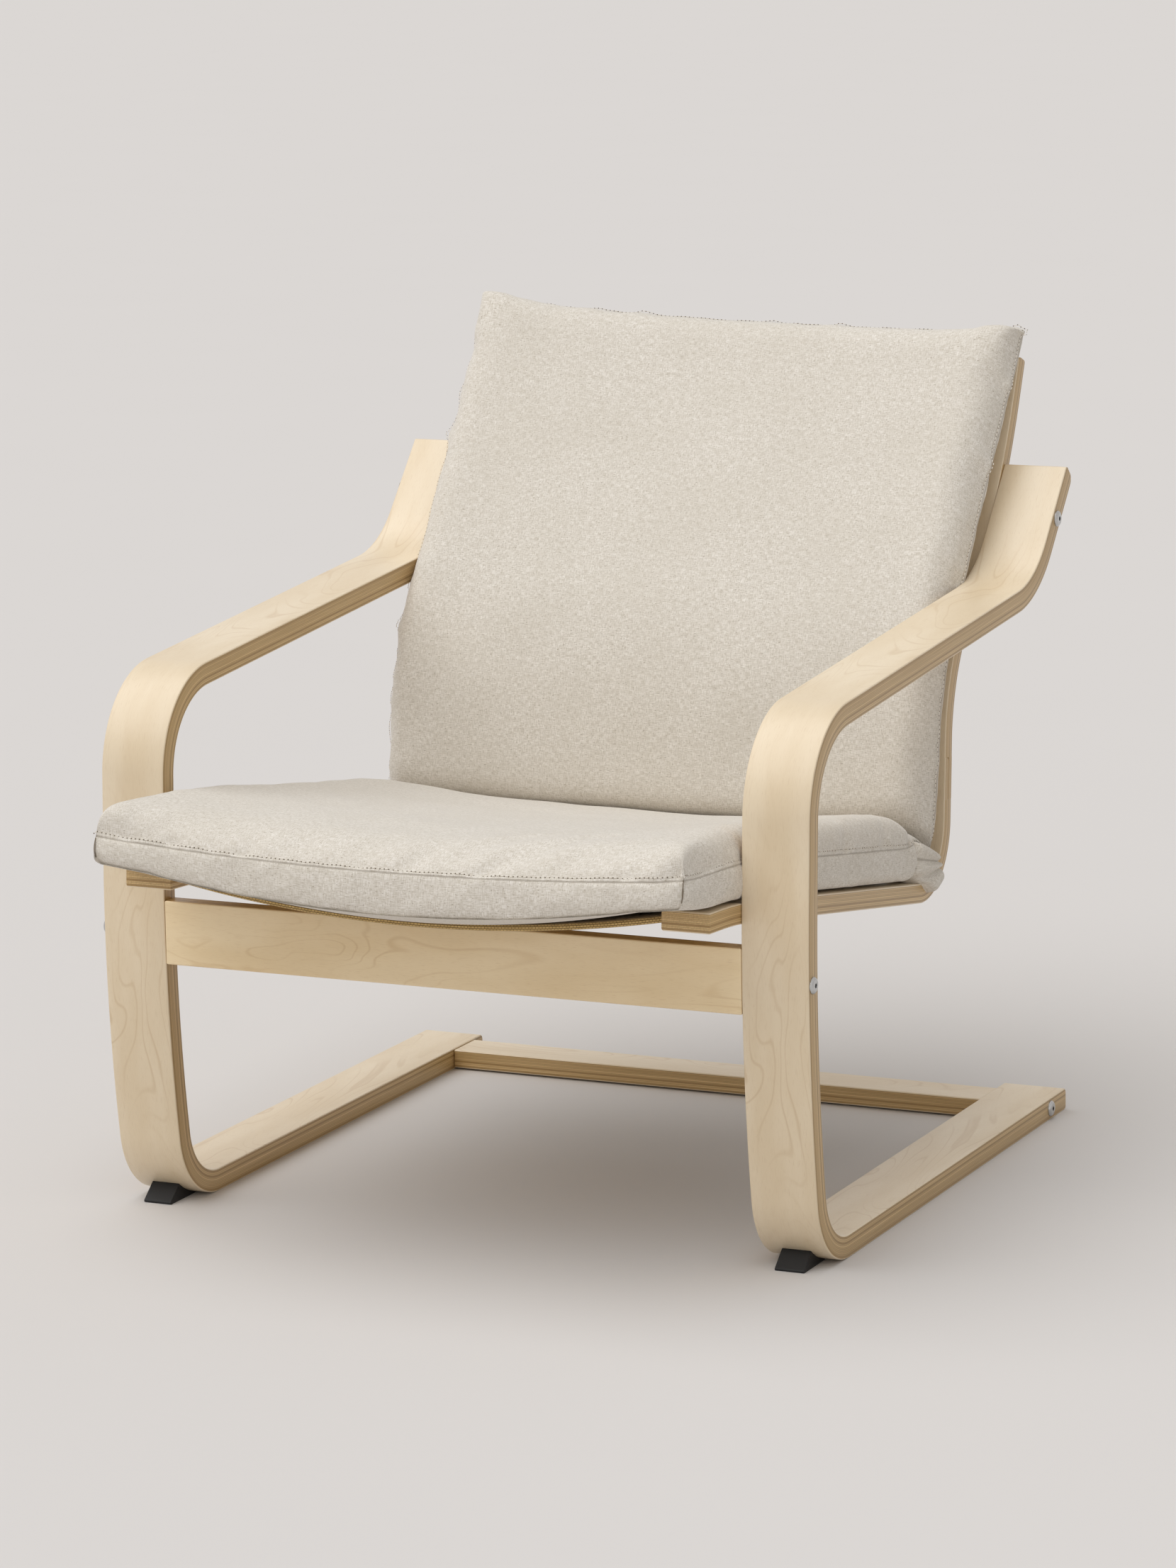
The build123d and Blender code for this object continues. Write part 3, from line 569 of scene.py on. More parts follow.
def drilled(mesh, bores, corners=32):
    """Cuts round holes, each (start, way, (from, to) along that way, radius)."""
    verts, faces = [], []
    for start, way, span, radius in bores:
        turn = Vector((0, 0, 1)).rotation_difference(Vector(way)).to_matrix().to_4x4()
        place = Matrix.Translation(start) @ turn
        low = [len(verts) + k for k in range(corners)]
        high = [k + corners for k in low]
        around = [cmath.rect(radius, 2 * pi * k / corners) for k in range(corners)]
        verts += [place @ Vector((spot.real, spot.imag, run)) for run in span for spot in around]
        faces += zip(low, low[1:] + low[:1], high[1:] + high[:1], high)
        faces += [low[::-1], high]
    drills, block = placed("bores", built("bores", verts, faces)), placed("block", mesh)
    cut = block.modifiers.new("bores", "BOOLEAN")
    cut.operation, cut.solver, cut.object = "DIFFERENCE", "EXACT", drills
    result = applied(block)
    for item in (drills, block):
        bpy.data.objects.remove(item)
    return result


def open_bores(node, side, deep, proud, radius):
    """Bores of this hand's fasteners that open at the rear, from where their CAD parts sit."""
    work = bmesh.new()
    work.from_mesh(bpy.data.objects[node].data)
    bmesh.ops.remove_doubles(work, verts=work.verts, dist=0.00005)
    left, bores = set(work.verts), []
    while left:
        island, edge = set(), [left.pop()]
        while edge:
            vert = edge.pop()
            island.add(vert)
            edge += [v for e in vert.link_edges for v in e.verts if v in left]
            left -= set(edge)
        spots = np.array([tuple(v.co) for v in island])
        middle = (spots.min(axis=0) + spots.max(axis=0)) / 2
        if middle[0] * side < 0:
            continue
        way = svd(spots - spots.mean(axis=0))[2][0]
        way = way * np.sign(way[1])
        runs = (spots - middle) @ way
        start = middle + way * (runs.max() if deep else runs.min())
        bores.append((tuple(start), tuple(way), (-deep, proud), radius))
    work.free()
    return sorted(bores)


HALF_LAP, LAP_RISE, LAP_GAP = 0.039, 0.020, 0.0001
frame_middle = frame_line(RAIL_THICKNESS / 2)


def lap_run():
    """Run along the frame's middle line where the lap starts."""
    a, b = heading(*FRAME_POINTS[1:3]), heading(*FRAME_POINTS[2:4])
    cosine = a[0] * b[0] + a[1] * b[1]
    reach = FRAME_RADII[1] * sqrt((1 - cosine) / (1 + cosine)) + LAP_RISE
    spot = np.array(FRAME_POINTS[2]) + np.array(b) * reach
    spot += np.array((-b[1], b[0])) * RAIL_THICKNESS / 2
    return min(np.linspace(0, frame_middle.length, 20001),
               key=lambda run: norm(frame_middle.at(run) - spot))


lamination = bend_tree()
strip_wood = birch("strip_birch", STRIP_THICKNESS / 2)
rail_wood = birch("rail_birch", RAIL_THICKNESS / 2, figure_shift=4)
slat_wood = birch("slat_birch", 0.0035, ply=0.0014, figure_shift=9)
strip_middle = Track(rounded(*beside(STRIP_POINTS, STRIP_RADII, -STRIP_THICKNESS / 2)))
lap_start = lap_run()

for hand, side in HANDS:
    strip = Bend(strip_middle, STRIP_THICKNESS, (side * (INNER_X + OUTER_X) / 2, DEPTH_SHIFT, 0),
                 rounds=((0, 1, 0.003), (1, 1, 0.003), (1, 0, 0.008), (0, 0, 0.004)))
    bent_piece("side_frame_" + hand, strip, STRIP_WIDTH, strip_wood)

# the seat rail and the back upright are one bend, halved into each other above the hip
for hand, side in HANDS:
    origin = (side * RAIL_X, DEPTH_SHIFT, 0)
    seat = Bend(frame_middle, RAIL_THICKNESS, origin, (0, lap_start + HALF_LAP),
                ((1, 0, 0.004), (0, 0, 0.002), (0, 1, 0.002)), (1, True))
    bent_piece("seat_rail_" + hand, seat, RAIL_WIDTH, rail_wood)
    back = Bend(frame_middle, RAIL_THICKNESS, origin, (lap_start, frame_middle.length),
                ((1, 1, 0.005), (1, 0, 0.0025)), (0, False))
    bores = open_bores("lap_screws", side, 0.0024, 0.003, 0.00415)
    bores += open_bores("arm_barrel_nuts", side, 0, 0.022, 0.0051)
    bent_piece("back_upright_" + hand, back, RAIL_WIDTH, rail_wood, bores=bores)

# back slats bow backwards; their bow is drawn as (across, forward) pairs between two tangents
SLAT_REACH, SLAT_BOW, SLAT_COUNT = RAIL_INNER_X + 0.011, 0.014, 4
SLAT_LOWEST, SLAT_HIGHEST = 0.418, 0.668
bow_radius = (SLAT_REACH ** 2 + SLAT_BOW ** 2) / (2 * SLAT_BOW)
bow_corner = (0, -SLAT_REACH * tan(asin(SLAT_REACH / bow_radius)))
bow = Track(rounded([(-SLAT_REACH, 0), bow_corner, (SLAT_REACH, 0)], [bow_radius * 0.999]))
for index in range(SLAT_COUNT):
    height = SLAT_LOWEST + index * (SLAT_HIGHEST - SLAT_LOWEST) / (SLAT_COUNT - 1)
    run = frame_middle.crossing(height)
    (y, z), way = frame_middle.at(run), frame_middle.way(run)
    slat = Bend(bow, 0.007, (0, y + DEPTH_SHIFT, z), across=(1, 0, 0), up=(0, -way[1], way[0]))
    bent_piece("back_slat_" + str(index + 1), slat, 0.054, slat_wood, 0.0008)

# ---------------- cushion
HALF_WIDTH = 0.278
HIP_CENTRE = np.array(beside(FRAME_POINTS, FRAME_RADII, FRAME_RADII[1])[0][2])
FOLD_REACH = FRAME_RADII[1] - RAIL_THICKNESS - 0.004
FOLD_LOW = HIP_CENTRE + FOLD_REACH * np.array((cos(radians(50)),
                                               -sin(radians(50))))
FOLD_WAY = np.array((cos(radians(20)), sin(radians(20))))
REST_X = RAIL_INNER_X + 0.0012          # the cushion lies on the rails from here outwards
# soft folds above the seat's front seam: (x, distance from the seam, depth) in millimetres
SEAT_FOLDS = np.array((
    (-215, 22, 1.4), (-150, 34, 1.2), (-85, 24, 1.4), (-20, 32, 2.0), (30, 22, 2.6), (72, 36, 3.0),
    (108, 20, 2.8), (140, 44, 2.6), (176, 26, 3.0), (214, 40, 2.2), (100, 75, 1.8),
    (165, 85, 1.6))) / 1000
# rows of the top panel up from the seam, as shares of its crown; the third carries the stitching
RISES = (0, 0.045, 0.125, 0.26, 0.43, 0.6, 0.76, 0.89, 0.97, 1)
STITCHED_ROW = 2
BORDER_SHARES = (0, 0.06, 0.17, 0.36, 0.58, 0.76, 0.89, 0.97, 1)
LOWEST_ROW = len(BORDER_SHARES) - 1
STEP = 0.0078                # size of a quad of the top panel
TUCK = 0.005                 # the border turns under by this much at its lower edge


def part(value):
    """Held between 0 and 1."""
    return min(1, max(0, value))


def quarter(run, reach):
    """Share of the full height this far in from an edge, on a quarter round."""
    return sqrt(1 - max(0, 1 - run / reach) ** 2)


def inset(rise, power):
    """Share of the way in at which a rounded edge has risen this far; a high power is boxy."""
    return 1 - (1 - min(1, rise) ** power) ** (1 / power)


def both(rise_a, rise_b, power=2.6):
    """Height where two rounded edges meet at a corner."""
    if min(rise_a, rise_b) <= 0:
        return 0
    return (rise_a ** -power + rise_b ** -power - 1) ** (-1 / power)


def crowned(x, full, roll):
    """Height of the top panel: full, or low and lower at the sides where it rolls down."""
    end = 0.005 + 0.026 * (1 - (x / HALF_WIDTH) ** 4)
    return end + (full - end) * roll


def bell(value, reach):
    return np.exp(-(value / reach) ** 2)


def hum(*where):
    """Smooth noise from -1 to 1, the same each run."""
    return noise.noise(Vector((*where, 0, 0)[:3]))


class Section:
    """Where a slab is at one run, and how wide, deep and crowned it is there."""

    def __init__(self, spot, way, **sizes):
        self.spot, self.way = spot, way / norm(way)
        self.normal = np.array((-self.way[1], self.way[0]))
        vars(self).update(sizes)

    def place(self, x, height):
        y, z = self.spot + self.normal * height
        return np.array((x, y + DEPTH_SHIFT, z))


class Slab:
    """What the seat and the back have in common; one end has a free border, one is folded.

    corner: |x| where the free end begins to square up, over which width, by which share
    it gets shorter, then the roundness of its side view and what adds to it right and left.
    side_round: roundness of the long sides, what adds to it at the free end, over which run.
    """

    def from_free(self, run):
        """Distance from the free end at a run, or the run at that distance."""
        return self.length - run if self.free_end else run

    def rows(self):
        """(run, rise) of each row of the top panel; the rows at the free end climb its border."""
        even = self.length - self.fold_reach - self.end_run
        count = round(even / STEP)
        distances = [self.end_run + even * k / count for k in range(1, count + 1)]
        distances += [self.length - self.fold_reach * share for share in self.fold_shares]
        rows = [(None, rise) for rise in RISES] + [(self.from_free(d), 1) for d in distances]
        return rows[::-1] if self.free_end else rows

    def front_run(self, x, rise):
        start, fade, shorter, power, boxier = self.corner
        side = part((abs(x) - start) / fade) ** 2
        return self.from_free(self.end_run * (1 - shorter * side)
                              * inset(rise, power + boxier[x < 0] * side))

    def side_power(self, run):
        power, boxier, reach = self.side_round
        return power + boxier * max(0, 1 - self.from_free(run) / reach)


class SeatSlab(Slab):
    """Seat: free border at the front, rolled down into the fold at the rear."""
    free_end, end_run, swell, folds = 0, 0.058, 0.0028, SEAT_FOLDS
    fold_reach, fold_shares = 0.080, (0.9, 0.8, 0.7, 0.6, 0.5, 0.4, 0.3, 0.2, 0.12, 0.05, 0)
    corner, side_round = (0.16, 0.11, 0.45, 2.1, (0.7, 1.3)), (2.4, 1.2, 0.09)

    def __init__(self):
        points, radii = beside(FRAME_POINTS, FRAME_RADII, RAIL_THICKNESS + 0.007)
        front, rear = (tuple(np.array(a) + np.array(heading(a, b)) * (y - a[0]) / heading(a, b)[0])
                       for a, b, y in ((*points[:2], -0.119), (*points[1:3], 0.392)))
        self.guide = Track(rounded([front, points[1], rear, tuple(FOLD_LOW)], [radii[0], 0.15]))
        self.length = self.guide.length
        self.fold_run = self.length - norm(FOLD_LOW - rear)

    def section(self, run, x=0, rise=1):
        left = self.length - run
        front = min(1, run / 0.052)
        rear = max(0, (run - self.fold_run) / (self.length - self.fold_run))
        roll = quarter(left, 0.088 + 0.050 * min(1, abs(x) / HALF_WIDTH) ** 6)
        bulge = 0.0015 * part((0.114 - run) / 0.011)
        pinch = part((run - self.fold_run - 0.012) / 0.022) ** 2
        border = 0.025 * quarter(left, 0.048) + 0.002
        return Section(self.guide.at(run), self.guide.way(run) * (1 - rear) + FOLD_WAY * rear,
                       half_width=HALF_WIDTH + bulge - 0.007 * pinch, border=border,
                       crown=crowned(x, 0.059 * (1 - 0.05 * rear), roll) - border,
                       crown_run=0.026, dish=(0.0115 + 0.006 * rise) * (0.3 + 0.7 * roll),
                       drop=0.0067 * (0.30 + 0.70 * front) + 0.004 * min(1, 2 * rear),
                       sag=(0.0195 + 0.0095 * front) * (1 - 0.3 * rear),
                       clear=0.0025 - 0.006 * front)

    def settle(self, points):
        """The two front corners are round seen from above."""
        reach = 0.020
        across = np.clip((HALF_WIDTH - np.abs(points[:, 0])) / reach, 0, 1)
        back = np.clip((points[:, 1] - points[:, 1].min() - 0.0065) / reach, 0, 1)
        push = (1 - across) * (1 - back) * reach * np.where(points[:, 0] < 0, 0.03, 0.20)
        points[:, 0] -= np.sign(points[:, 0]) * push
        points[:, 1] += push


class BackSlab(Slab):
    """Back: from the fold up to its free top border."""
    free_end, end_run, swell, folds = 1, 0.034, 0.0008, ()
    fold_reach, fold_shares = 0.060, (0.85, 0.7, 0.55, 0.4, 0.26, 0.14, 0.05, 0)
    corner, side_round = (0.18, 0.09, 0.35, 2.2, (1.6, 1.6)), (2.05, 1.4, 0.06)

    def __init__(self):
        face = frame_line(RAIL_THICKNESS)
        bend = np.array((face.at(face.crossing(0.441))[0] - 0.016, 0.441))
        high = np.array((face.at(face.crossing(0.7099))[0] - 0.0048, 0.710))
        way = (high - bend) / norm(high - bend)
        top = bend + way * (0.743 - 0.441) / way[1]
        self.guide = Track(rounded([tuple(FOLD_LOW), tuple(bend), tuple(top)], [0.250]))
        self.length = self.guide.length

    def section(self, run, x=0, rise=1):
        turned = 1 - quarter(run, 0.110)
        roll = quarter(run, 0.055)
        border = 0.009 * roll + 0.002
        belly = 0.018 * (0.3 + 0.7 * rise) * (1 - 0.5 * turned)
        return Section(self.guide.at(run), self.guide.way(run) * (1 - turned) + FOLD_WAY * turned,
                       half_width=0.2798 - 0.009 * max(0, 1 - run / 0.055) ** 2,
                       border=border, crown=crowned(x, 0.043 + 0.008 * turned, roll) - border,
                       crown_run=0.031, dish=0.006, drop=belly * 0.1, sag=belly,
                       clear=0.0080 * roll)

    def settle(self, points):
        """The top edge sags between its corners and hangs lower on the right."""
        fade = np.clip((points[:, 2] - points[:, 2].max()) / 0.26 + 1, 0, 1) ** 1.5
        share = points[:, 0] / 0.279
        sag = np.where(share < 0, 0.005, 0.001) * share ** 2
        points[:, 2] += fade * (-0.007 - 0.007 * share + sag)


def quads(grid):
    """The four corners of each cell of a grid of numbers or points."""
    cells = np.stack([grid[:-1, :-1], grid[:-1, 1:], grid[1:, 1:], grid[1:, :-1]], axis=2)
    return cells.reshape(-1, 4, *grid.shape[2:])


def panels(over, under, border):
    """Cells of the top panel and of the underside in turn, then those of the border."""
    pairs = np.stack([quads(over), quads(under)[:, ::-1]], axis=1)
    return np.concatenate([pairs.reshape(-1, 4, *over.shape[2:]), quads(border)])


class BoxedCushion:
    """Closed cover of a slab, sewn from a top panel, a border and an underside.

    top, low and side hold the numbers of its points; side's first row is the upper seam,
    its last one the lower edge.  rim holds the columns and rows of the panels' outline.
    """

    def __init__(self, slab):
        self.slab, self.rows = slab, slab.rows()
        middle = round(2 * 0.252 / STEP)
        self.columns = ([(1, rise, None) for rise in RISES]
                        + [(0, 1, 1 - 2 * k / middle) for k in range(1, middle)]
                        + [(-1, rise, None) for rise in RISES[::-1]])
        nx, ny = len(self.columns) - 1, len(self.rows) - 1
        self.free, self.fold = (ny, 0) if slab.free_end else (0, ny)
        self.top = np.arange((nx + 1) * (ny + 1)).reshape(nx + 1, ny + 1)
        self.low = self.top + self.top.size
        self.rim = np.array([(i, 0) for i in range(nx)] + [(nx, j) for j in range(ny)]
                            + [(i, ny) for i in range(nx, 0, -1)]
                            + [(0, j) for j in range(ny, 0, -1)]).T
        i, j = self.rim
        between = np.arange((LOWEST_ROW - 1) * len(i)).reshape(-1, len(i)) + 2 * self.top.size
        self.side = np.vstack([self.top[i, j], between, self.low[i, j]])
        spots = [self.spots(*spot) for spot in np.ndindex(self.top.shape)]
        over, under = np.array(spots).swapaxes(0, 1).reshape(2, *self.top.shape, 3)
        # away from the cushion at its border, turning evenly round the free corners
        corners = over[[0, nx], self.free]
        gaps = norm(over[i, j][:, None] - corners, axis=2).min(axis=1)
        near, free = np.maximum(0, 1 - gaps / 0.014), j == self.free
        way = slab.section(slab.length if self.free else 0).way * (1 if self.free else -1)
        out = np.stack([np.where(free, near, 1) * np.where(2 * i < nx, 1, -1),
                        *(np.where(free, 1, near) * w for w in way)], axis=1)
        out /= np.maximum(1, norm(out, axis=1, keepdims=True))
        self.points = [*over.reshape(-1, 3), *under.reshape(-1, 3)]
        for share in BORDER_SHARES[1:-1]:
            turn_under = TUCK * (1 - sqrt(1 - max(0, (share - 0.7) / 0.3) ** 2))
            swell = slab.swell * 4 * share * (1 - share) + TUCK * share - turn_under
            self.points += list(over[i, j] * (1 - share) + under[i, j] * share + out * swell)
        self.points = np.array(self.points)
        self.measure(over)

    def spots(self, i, j):
        """Points of the top panel and of the underside at one column and row."""
        side, side_rise, share = self.columns[i]
        run, rise = self.rows[j]
        rough_x = side * HALF_WIDTH if side else share * (HALF_WIDTH - 0.026)
        if run is None:
            run = self.slab.front_run(rough_x, rise)
        section = self.slab.section(run, rough_x, rise)
        wide, reach = section.half_width, section.crown_run
        if side:
            x = side * (wide - reach * inset(side_rise, self.slab.side_power(run)))
        else:
            x = share * (wide - reach)
        lift = section.crown * both(side_rise, rise)
        over = section.place(x, section.border + lift - section.dish * (1 - (x / wide) ** 2))
        if j == self.free:
            run = min(max(run, TUCK), self.slab.length - TUCK)
        section = self.slab.section(run, rough_x, rise)
        wide = section.half_width
        edge = min(1, (wide - abs(x)) / (wide - REST_X))
        hang = max(0, 1 - (x / REST_X) ** 2)
        height = section.clear * (1 - edge) - section.drop * edge - section.sag * hang
        return over, section.place(x * (1 - TUCK / wide), height)

    def measure(self, over):
        """Faces, their places in the cloth as it was cut, and distances from the seams."""
        (nx, ny), (i, j) = np.array(self.top.shape) - 1, self.rim
        self.faces = panels(self.top, self.low, np.hstack([self.side, self.side[:, :1]])).tolist()
        u, v = run_along(over[:, ny // 2]), run_along(over[nx // 2])
        w = run_along(np.concatenate([over[i, j], over[:1, 0]]))
        flat = np.stack(np.meshgrid(u, v, indexing="ij"), axis=2)
        strip = np.stack(np.meshgrid(w, np.array(BORDER_SHARES) * 0.028 + 2.1), axis=2)
        self.cloth = panels(flat, flat + (1.3, 0), strip).reshape(-1, 2)
        edge_u = np.minimum(u, u[-1] - u)[:, None]
        edge_v = v[-1] - v if self.free else v
        place = np.zeros(self.top.shape)
        place[i, j] = w[:-1]
        nearest_side = np.where(2 * np.arange(nx + 1)[:, None] < nx, place[0], place[nx])
        self.along = np.where(edge_u < edge_v, nearest_side, place[:, [self.free]])
        shares = np.array(BORDER_SHARES[1:-1])[:, None]
        gaps = abs(w[:-1] - w[:-1][(i % nx == 0) & (j == self.free)][:, None])
        corner_gap = np.minimum(gaps, w[-1] - gaps).min(axis=0)

        def stored(panel, border):
            rows = np.broadcast_to(border, (LOWEST_ROW - 1, len(i)))
            return np.concatenate([panel.ravel(), np.ones(panel.size), rows.ravel()])

        depth = np.minimum(edge_u, edge_v)
        self.depth = stored(depth, 1)
        # seam and dart are distances from the seam lines and the corner darts; the linen paints
        # shade along them
        self.seam = stored(depth, np.where(j == self.fold, 1, shares * 0.026))
        self.dart = stored(np.where(depth < 0.018, abs(edge_u - edge_v) * 0.7, 1),
                           np.where(shares < 0.8, corner_gap, 1))

    def mesh(self, name):
        return built(name, self.points, self.faces, self.cloth, seam=self.seam, dart=self.dart)

    def fill(self, pressure=4, cap=0.006, slack=0.01, frames=20):
        """Blows the cover up against its seams as cloth and keeps each move under a cap."""
        cover = placed("filling", self.mesh("filling"))
        # the seams, the underside and the fold hold still
        held = [self.low, self.side[[0, -1]], self.side[:, self.rim[1] == self.fold]]
        held = np.unique(np.concatenate([numbers.ravel() for numbers in held])).tolist()
        cover.vertex_groups.new(name="seam_shade_and_groove").add(held, 1, "REPLACE")
        cloth = cover.modifiers.new("cloth", "CLOTH")
        how = cloth.settings
        how.quality, how.mass = 6, 0.25
        how.tension_stiffness = how.compression_stiffness = 25
        how.shear_stiffness, how.bending_stiffness = 10, 2
        how.use_pressure, how.uniform_pressure_force = True, pressure
        how.vertex_group_mass, how.pin_stiffness = "seam_shade_and_groove", 1
        how.shrink_min = -slack
        how.effector_weights.gravity = 0
        cloth.collision_settings.use_collision = False
        cloth.point_cache.frame_start, cloth.point_cache.frame_end = 1, frames
        for step in range(1, frames + 1):
            scene.frame_set(step)
        blown = cover.evaluated_get(bpy.context.evaluated_depsgraph_get())
        moved = np.empty(len(self.points) * 3)
        blown.to_mesh().vertices.foreach_get("co", moved)
        blown.to_mesh_clear()
        moved = moved.reshape(-1, 3) - self.points
        bpy.data.objects.remove(cover)
        scene.frame_set(1)
        size = norm(moved, axis=1, keepdims=True)
        near = np.where(self.depth < 0.9, 0.15 + 0.85 * bell(self.depth, 0.045), 1)
        self.points = self.points + moved * near[:, None] * cap / (cap + size)

    def normals(self):
        mesh = self.mesh("feel")
        work = bmesh.new()
        work.from_mesh(mesh)
        bmesh.ops.recalc_face_normals(work, faces=work.faces)
        work.normal_update()
        result = np.array([tuple(v.normal) for v in work.verts])
        work.free()
        bpy.data.meshes.remove(mesh)
        return result

    def pucker(self, i, j, seed):
        """How far a point of the top panel is pushed out by stitches, gathers and folds."""
        point = self.top[i, j]
        depth, run, (x, y, z) = self.depth[point], self.along[i, j], self.points[point]
        tight = exp(-max(0, depth - 0.004) / 0.022) * min(1, depth / 0.004)
        gather = hum((run + 0.6 * depth) * 44 + seed, depth * 10)
        row = min(i, len(self.top) - 1 - i, abs(j - self.free), 3)
        push = (-0.0012, 0.0005, -0.0007, 0)[row]
        push -= tight * max(0, gather - 0.08) * (0.0105 if abs(x) > 0.25 else 0.0085)
        push += tight * max(0, -gather) * 0.0012
        for spot, reach, deep in self.slab.folds:
            across = (x - spot - depth + reach) * 0.707
            along = (x - spot + depth - reach) * 0.707
            push += (deep * bell(along, 0.026) * min(1, depth / 0.006)
                     * (0.8 * bell(across + 0.014, 0.009) - 1.3 * bell(across, 0.0075)))
        push += 0.0024 * hum(x * 6 + seed, y * 6, z * 6) * min(1, depth / 0.05)
        fine = hum((x + y) * 17 + seed, (x - y) * 9, z * 15)
        return push + 0.0011 * fine * min(1, depth / 0.02)

    def sew(self, seed):
        """Draws the seam and the stitching in, and gathers the cloth into puckers beside them."""
        push, drop = np.zeros((2, len(self.points)))
        for i, j in np.ndindex(self.top.shape):
            if j != self.fold:
                push[self.top[i, j]] = self.pucker(i, j, seed)
        for share, points in zip(BORDER_SHARES[1:], self.side[1:]):
            for point, i, j in zip(points, *self.rim):
                if j == self.fold:
                    continue
                run = self.along[i, j]
                wave = hum(run * 38 + seed, share * 1.5, 3)
                push[point] += 0.0014 * wave * sin(pi * share)
                if i in (0, len(self.top) - 1):
                    drop[point] += 0.0024 * share ** 2 * hum(run * 30 + seed, 7)
        self.points = self.points + self.normals() * push[:, None]
        self.points[:, 2] += drop

    def seam_rows(self, step_in):
        """Points along the top panel, some rows in from the seam: free edge, then both sides."""
        inner = self.free - step_in if self.free else step_in
        down = list(range(self.fold - 3, inner, -1) if self.fold > inner else range(3, inner))
        return (self.top[step_in:-step_in, inner], self.top[step_in, down],
                self.top[-1 - step_in, down])


def stitch_tree():
    """Stitches of one length along a line, each a short capsule with a dark bead behind it,
    painted shade in its needle hole.
    """
    tree = GeometryTree("topstitching", Pitch=0.0042, Length=0.0030, Thread=0.0004,
                        Hole=0.00055, Cotton="Material", Shadow="Material")
    given = tree.given
    line = tree.add("MeshToCurve", [given["Geometry"]])
    spots = tree.add("CurveToPoints", {"Curve": line, "Length": given["Pitch"]}, mode="LENGTH")
    bead = tree.add("MeshUVSphere", {"Segments": 6, "Rings": 4, "Radius": 1})
    behind = tree.shifted(spots, spots.outputs["Tangent"],
                          tree.math("MULTIPLY", given["Pitch"], 0.5))
    half = tree.math("MULTIPLY", given["Length"], 0.5)
    joined = tree.add("JoinGeometry")
    for points, along, across, paint in ((spots, half, given["Thread"], given["Cotton"]),
                                         (behind, given["Hole"], given["Hole"], given["Shadow"])):
        size = add(tree.tree, "ShaderNodeCombineXYZ", (across, across, along))
        laid = tree.add("InstanceOnPoints", {"Points": points, "Instance": bead, "Scale": size,
                                             "Rotation": spots.outputs["Rotation"]})
        laid = tree.add("RealizeInstances", [laid])
        laid = tree.painted(tree.add("SetShadeSmooth", [laid]), paint)
        tree.tree.links.new(laid.outputs[0], joined.inputs[0])
    return tree.end(joined)


cover_cloth = linen()
cotton = moulded("stitch_cotton", (226, 219, 207), 3000, 0.9)
# painted shade: dark beads between the stitches stand for the shade in the needle holes
painted_hole_shade = moulded("needle_hole_shadow", (120, 108, 92), 3000, 1)
stitching = stitch_tree()

for name, slab, seed in (("seat_cushion", SeatSlab(), 3.1), ("back_cushion", BackSlab(), 8.7)):
    cushion = BoxedCushion(slab)
    cushion.fill()
    cushion.sew(seed)
    slab.settle(cushion.points)
    cover = outward(cushion.mesh(name))
    cover.shade_smooth()
    piece = new_piece(name, cover, [name + "_cover", name + "_foam"], cover_cloth)
    refine(piece, 1)
    normals = cushion.normals()
    for edge, rows in zip(("end", "left", "right"), cushion.seam_rows(STITCHED_ROW)):
        hole = 0.0006 if edge == "end" else 0.0004
        stitches = swept(cushion.points[rows] + normals[rows] * 0.0006, stitching,
                         {"Cotton": cotton, "Shadow": painted_hole_shade, "Hole": hole})
        new_piece(name + "_stitches_" + edge, stitches, [])


def hip_gather(side):
    """Surplus cloth of the cover, pleated where it folds and hanging over the rail."""
    # (y, z, x) of each pleat's front and rear end in millimetres, from the top down
    pleats = (((424, 299, 276), (459, 281, 281)), ((418, 293, 279.5), (460.5, 278, 285.2)),
              ((412, 285, 272.2), (460.5, 273.5, 277.5)), ((401, 279, 281.2), (460, 271.6, 285)),
              ((402, 272, 281.8), (460, 270.2, 285.6)), ((412, 266.5, 273.5), (459.5, 268, 278.2)),
              ((424, 261, 284.2), (460, 265, 286.4)), ((437, 251.5, 286.6), (460, 260, 287.2)),
              ((438.5, 249.5, 283.4), (460.5, 259, 283.8)))
    verts, seam, places, columns = [], [], [], 12
    for t, (near, far) in enumerate(np.array(pleats) / 1000):
        for c in range(columns + 1):
            share = -0.12 + 1.24 * c / columns
            y, z, x = near + (far - near) * share
            inner = max(0, 0.10 - share) * 0.07 + max(0, share - 1) * 0.03
            x += 0.0014 * sin(pi * part(share)) - inner
            x += 0.0005 * hum(share * 5, t * 0.7, side)
            verts.append((side * x, y + DEPTH_SHIFT, z))
            # seam here is the distance from the third, deepest pleat: the linen paints a line of
            # shade along its valley
            seam.append(abs(t - 2) * 0.004)
            places.append((share * 0.05 + 3.4, t * 0.008))
    return cloth_grid(verts, places, columns + 1, side, seam=seam, dart=[1.0] * len(seam))


for hand, side in HANDS:
    gather = new_piece("hip_gather_" + hand, hip_gather(side), [], cover_cloth)
    thicken(gather, 0.0016, -1)
    refine(gather, 2)


# ---------------- sling
SLING_THICKNESS = 0.0015


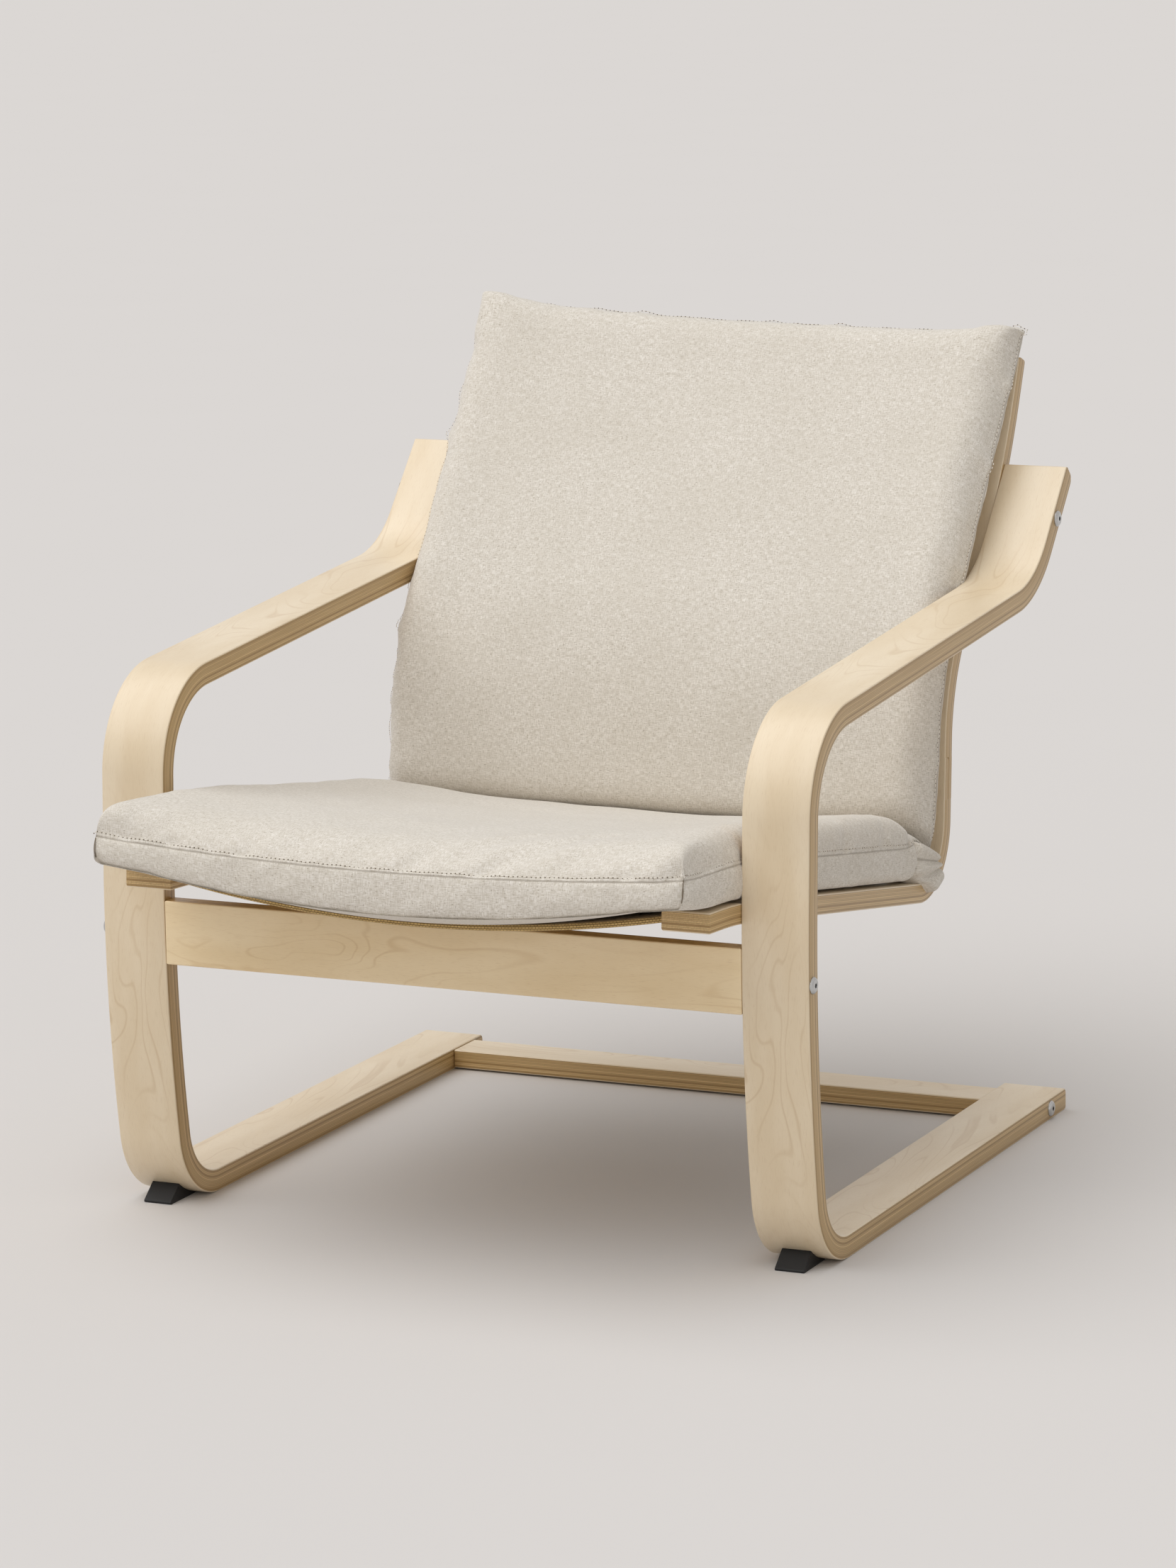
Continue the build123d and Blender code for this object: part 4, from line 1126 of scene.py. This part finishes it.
def sling():
    """Basket-woven sheet between the seat rails, its front hem turned back and sewn."""
    track = frame_line(0.0095 + SLING_THICKNESS / 2)     # up from the rail's underside
    edge, hem_radius, sag, tuck = RAIL_INNER_X - 0.001, 0.0021, 0.022, 0.008
    runs = [run for run in np.linspace(0, track.length, 4000)
            if -0.0515 <= track.at(run)[0] <= 0.3915 and track.way(run)[0] > 0.5]
    spots = [(track.at(run), track.way(run), run) for run in np.linspace(runs[0], runs[-1], 60)]
    spot, way, start = spots[0]
    below = np.array((way[1], -way[0]))
    turned = [(spot + (below * (1 - cos(turn)) - way * sin(turn)) * hem_radius, way,
               start - hem_radius * turn) for turn in np.linspace(0.4, pi, 6)]
    spot, way, run = turned[-1]
    turned += [(spot + way * back, way, run - back) for back in (0.005, 0.010, 0.015)]
    across = [-RAIL_INNER_X - tuck, *np.linspace(-edge, edge, 61), RAIL_INNER_X + tuck]
    verts, places = [], []
    for spot, way, run in turned[::-1] + spots:
        for x in across:
            y, z = spot - np.array((-way[1], way[0])) * sag * max(0, 1 - (x / edge) ** 2)
            verts.append((x, y + DEPTH_SHIFT, z))
            places.append((x, run))
    return cloth_grid(verts, places, len(across))


seat_sling = new_piece("sling_cloth", sling(), ["seat_sling"], basket_cloth())
thicken(seat_sling, SLING_THICKNESS, 0)

# ---------------- plain CAD pieces
for material, nodes in (
        (birch("cross_rail_birch", 0.009, "XZY", centre_of("front_cross_rail", 1),
               face=(244, 222, 182), figure_shift=2.3), ["front_cross_rail"]),
        (birch("floor_rail_birch", 0.009, "XYZ", centre_of("rear_floor_rail", 2),
               figure_shift=6.1), ["rear_floor_rail"]),
        (birch("beech_dowel", 1, "XYZ", face=(214, 178, 136)),
         ["cross_rail_dowels", "floor_rail_dowels"]),
        (zinc(), ["leg_bolts", "runner_bolts", "arm_bolts", "leg_barrel_nuts",
                  "runner_barrel_nuts", "arm_barrel_nuts", "seat_pins", "lap_screws",
                  "foot_screws"]),
        (moulded("black_foot", (17, 17, 18)), ["front_foot_left", "front_foot_right"]),
        (moulded("pale_spline", (196, 192, 184)), ["sling_spline_left", "sling_spline_right"])):
    for node in nodes:
        finish(bpy.data.objects[node].data, material)


# ---------------- floor, light and camera
def studio():
    """Plain pale floor, soft light from the upper left and front, and the photograph's view."""
    pale = tint((213, 209, 206))
    corners = [(-300, -300, 0), (300, -300, 0), (300, 300, 0), (-300, 300, 0)]
    floor = placed("studio_floor", built("studio_floor", corners, [(0, 1, 2, 3)]))
    paint = Paint("studio_floor_paint", Roughness=1, Specular_IOR_Level=0)
    cloud = paint.add("TexNoise", {"Vector": paint.place(), "Scale": 3})
    finish(floor.data, paint.coloured(paint.mix(cloud, pale, tint((214, 210, 207)))))
    world = bpy.data.worlds.new("studio")
    scene.world = world
    world.use_nodes = True
    tree = world.node_tree
    tree.nodes.clear()
    path = add(tree, "ShaderNodeLightPath").outputs
    seen = path["Is Camera Ray"]
    for ray in ("Is Glossy Ray", "Is Transmission Ray"):
        seen = add(tree, "ShaderNodeMath", (seen, path[ray]), operation="MAXIMUM")
    light, view = (add(tree, "ShaderNodeBackground", {"Color": colour, "Strength": strength})
                   for colour, strength in (((1, 1, 1, 1), 0.46), (pale, 1)))
    add(tree, "ShaderNodeOutputWorld", [add(tree, "ShaderNodeMixShader", (seen, light, view))])
    for name, toward, strength, spread in (("window_light", (0.36, 0.26, -1), 1.98, 72),
                                           ("front_fill", (-0.3, 1, -0.35), 0.22, 60)):
        lamp = bpy.data.lights.new(name, "SUN")
        lamp.energy, lamp.angle = strength, radians(spread)
        turn = Vector(toward).to_track_quat("-Z", "Y").to_euler()
        placed(name, lamp).rotation_euler = turn
    lens = bpy.data.cameras.new("photograph_view")
    lens.sensor_fit, lens.sensor_height, lens.lens = "VERTICAL", 36, 127.03
    lens.clip_end = 1000
    camera = placed("photograph_view", lens)
    az, el, roll = (radians(v) for v in (24.596, 10.905, -0.90))
    turn = (Matrix.Rotation(az, 4, "Z") @ Matrix.Rotation(pi / 2 - el, 4, "X")
            @ Matrix.Rotation(roll, 4, "Z"))
    camera.matrix_world = Matrix.Translation((2.0693, -4.2190 + DEPTH_SHIFT, 1.3151)) @ turn
    scene.camera = camera
    scene.view_settings.view_transform = "Standard"


studio()
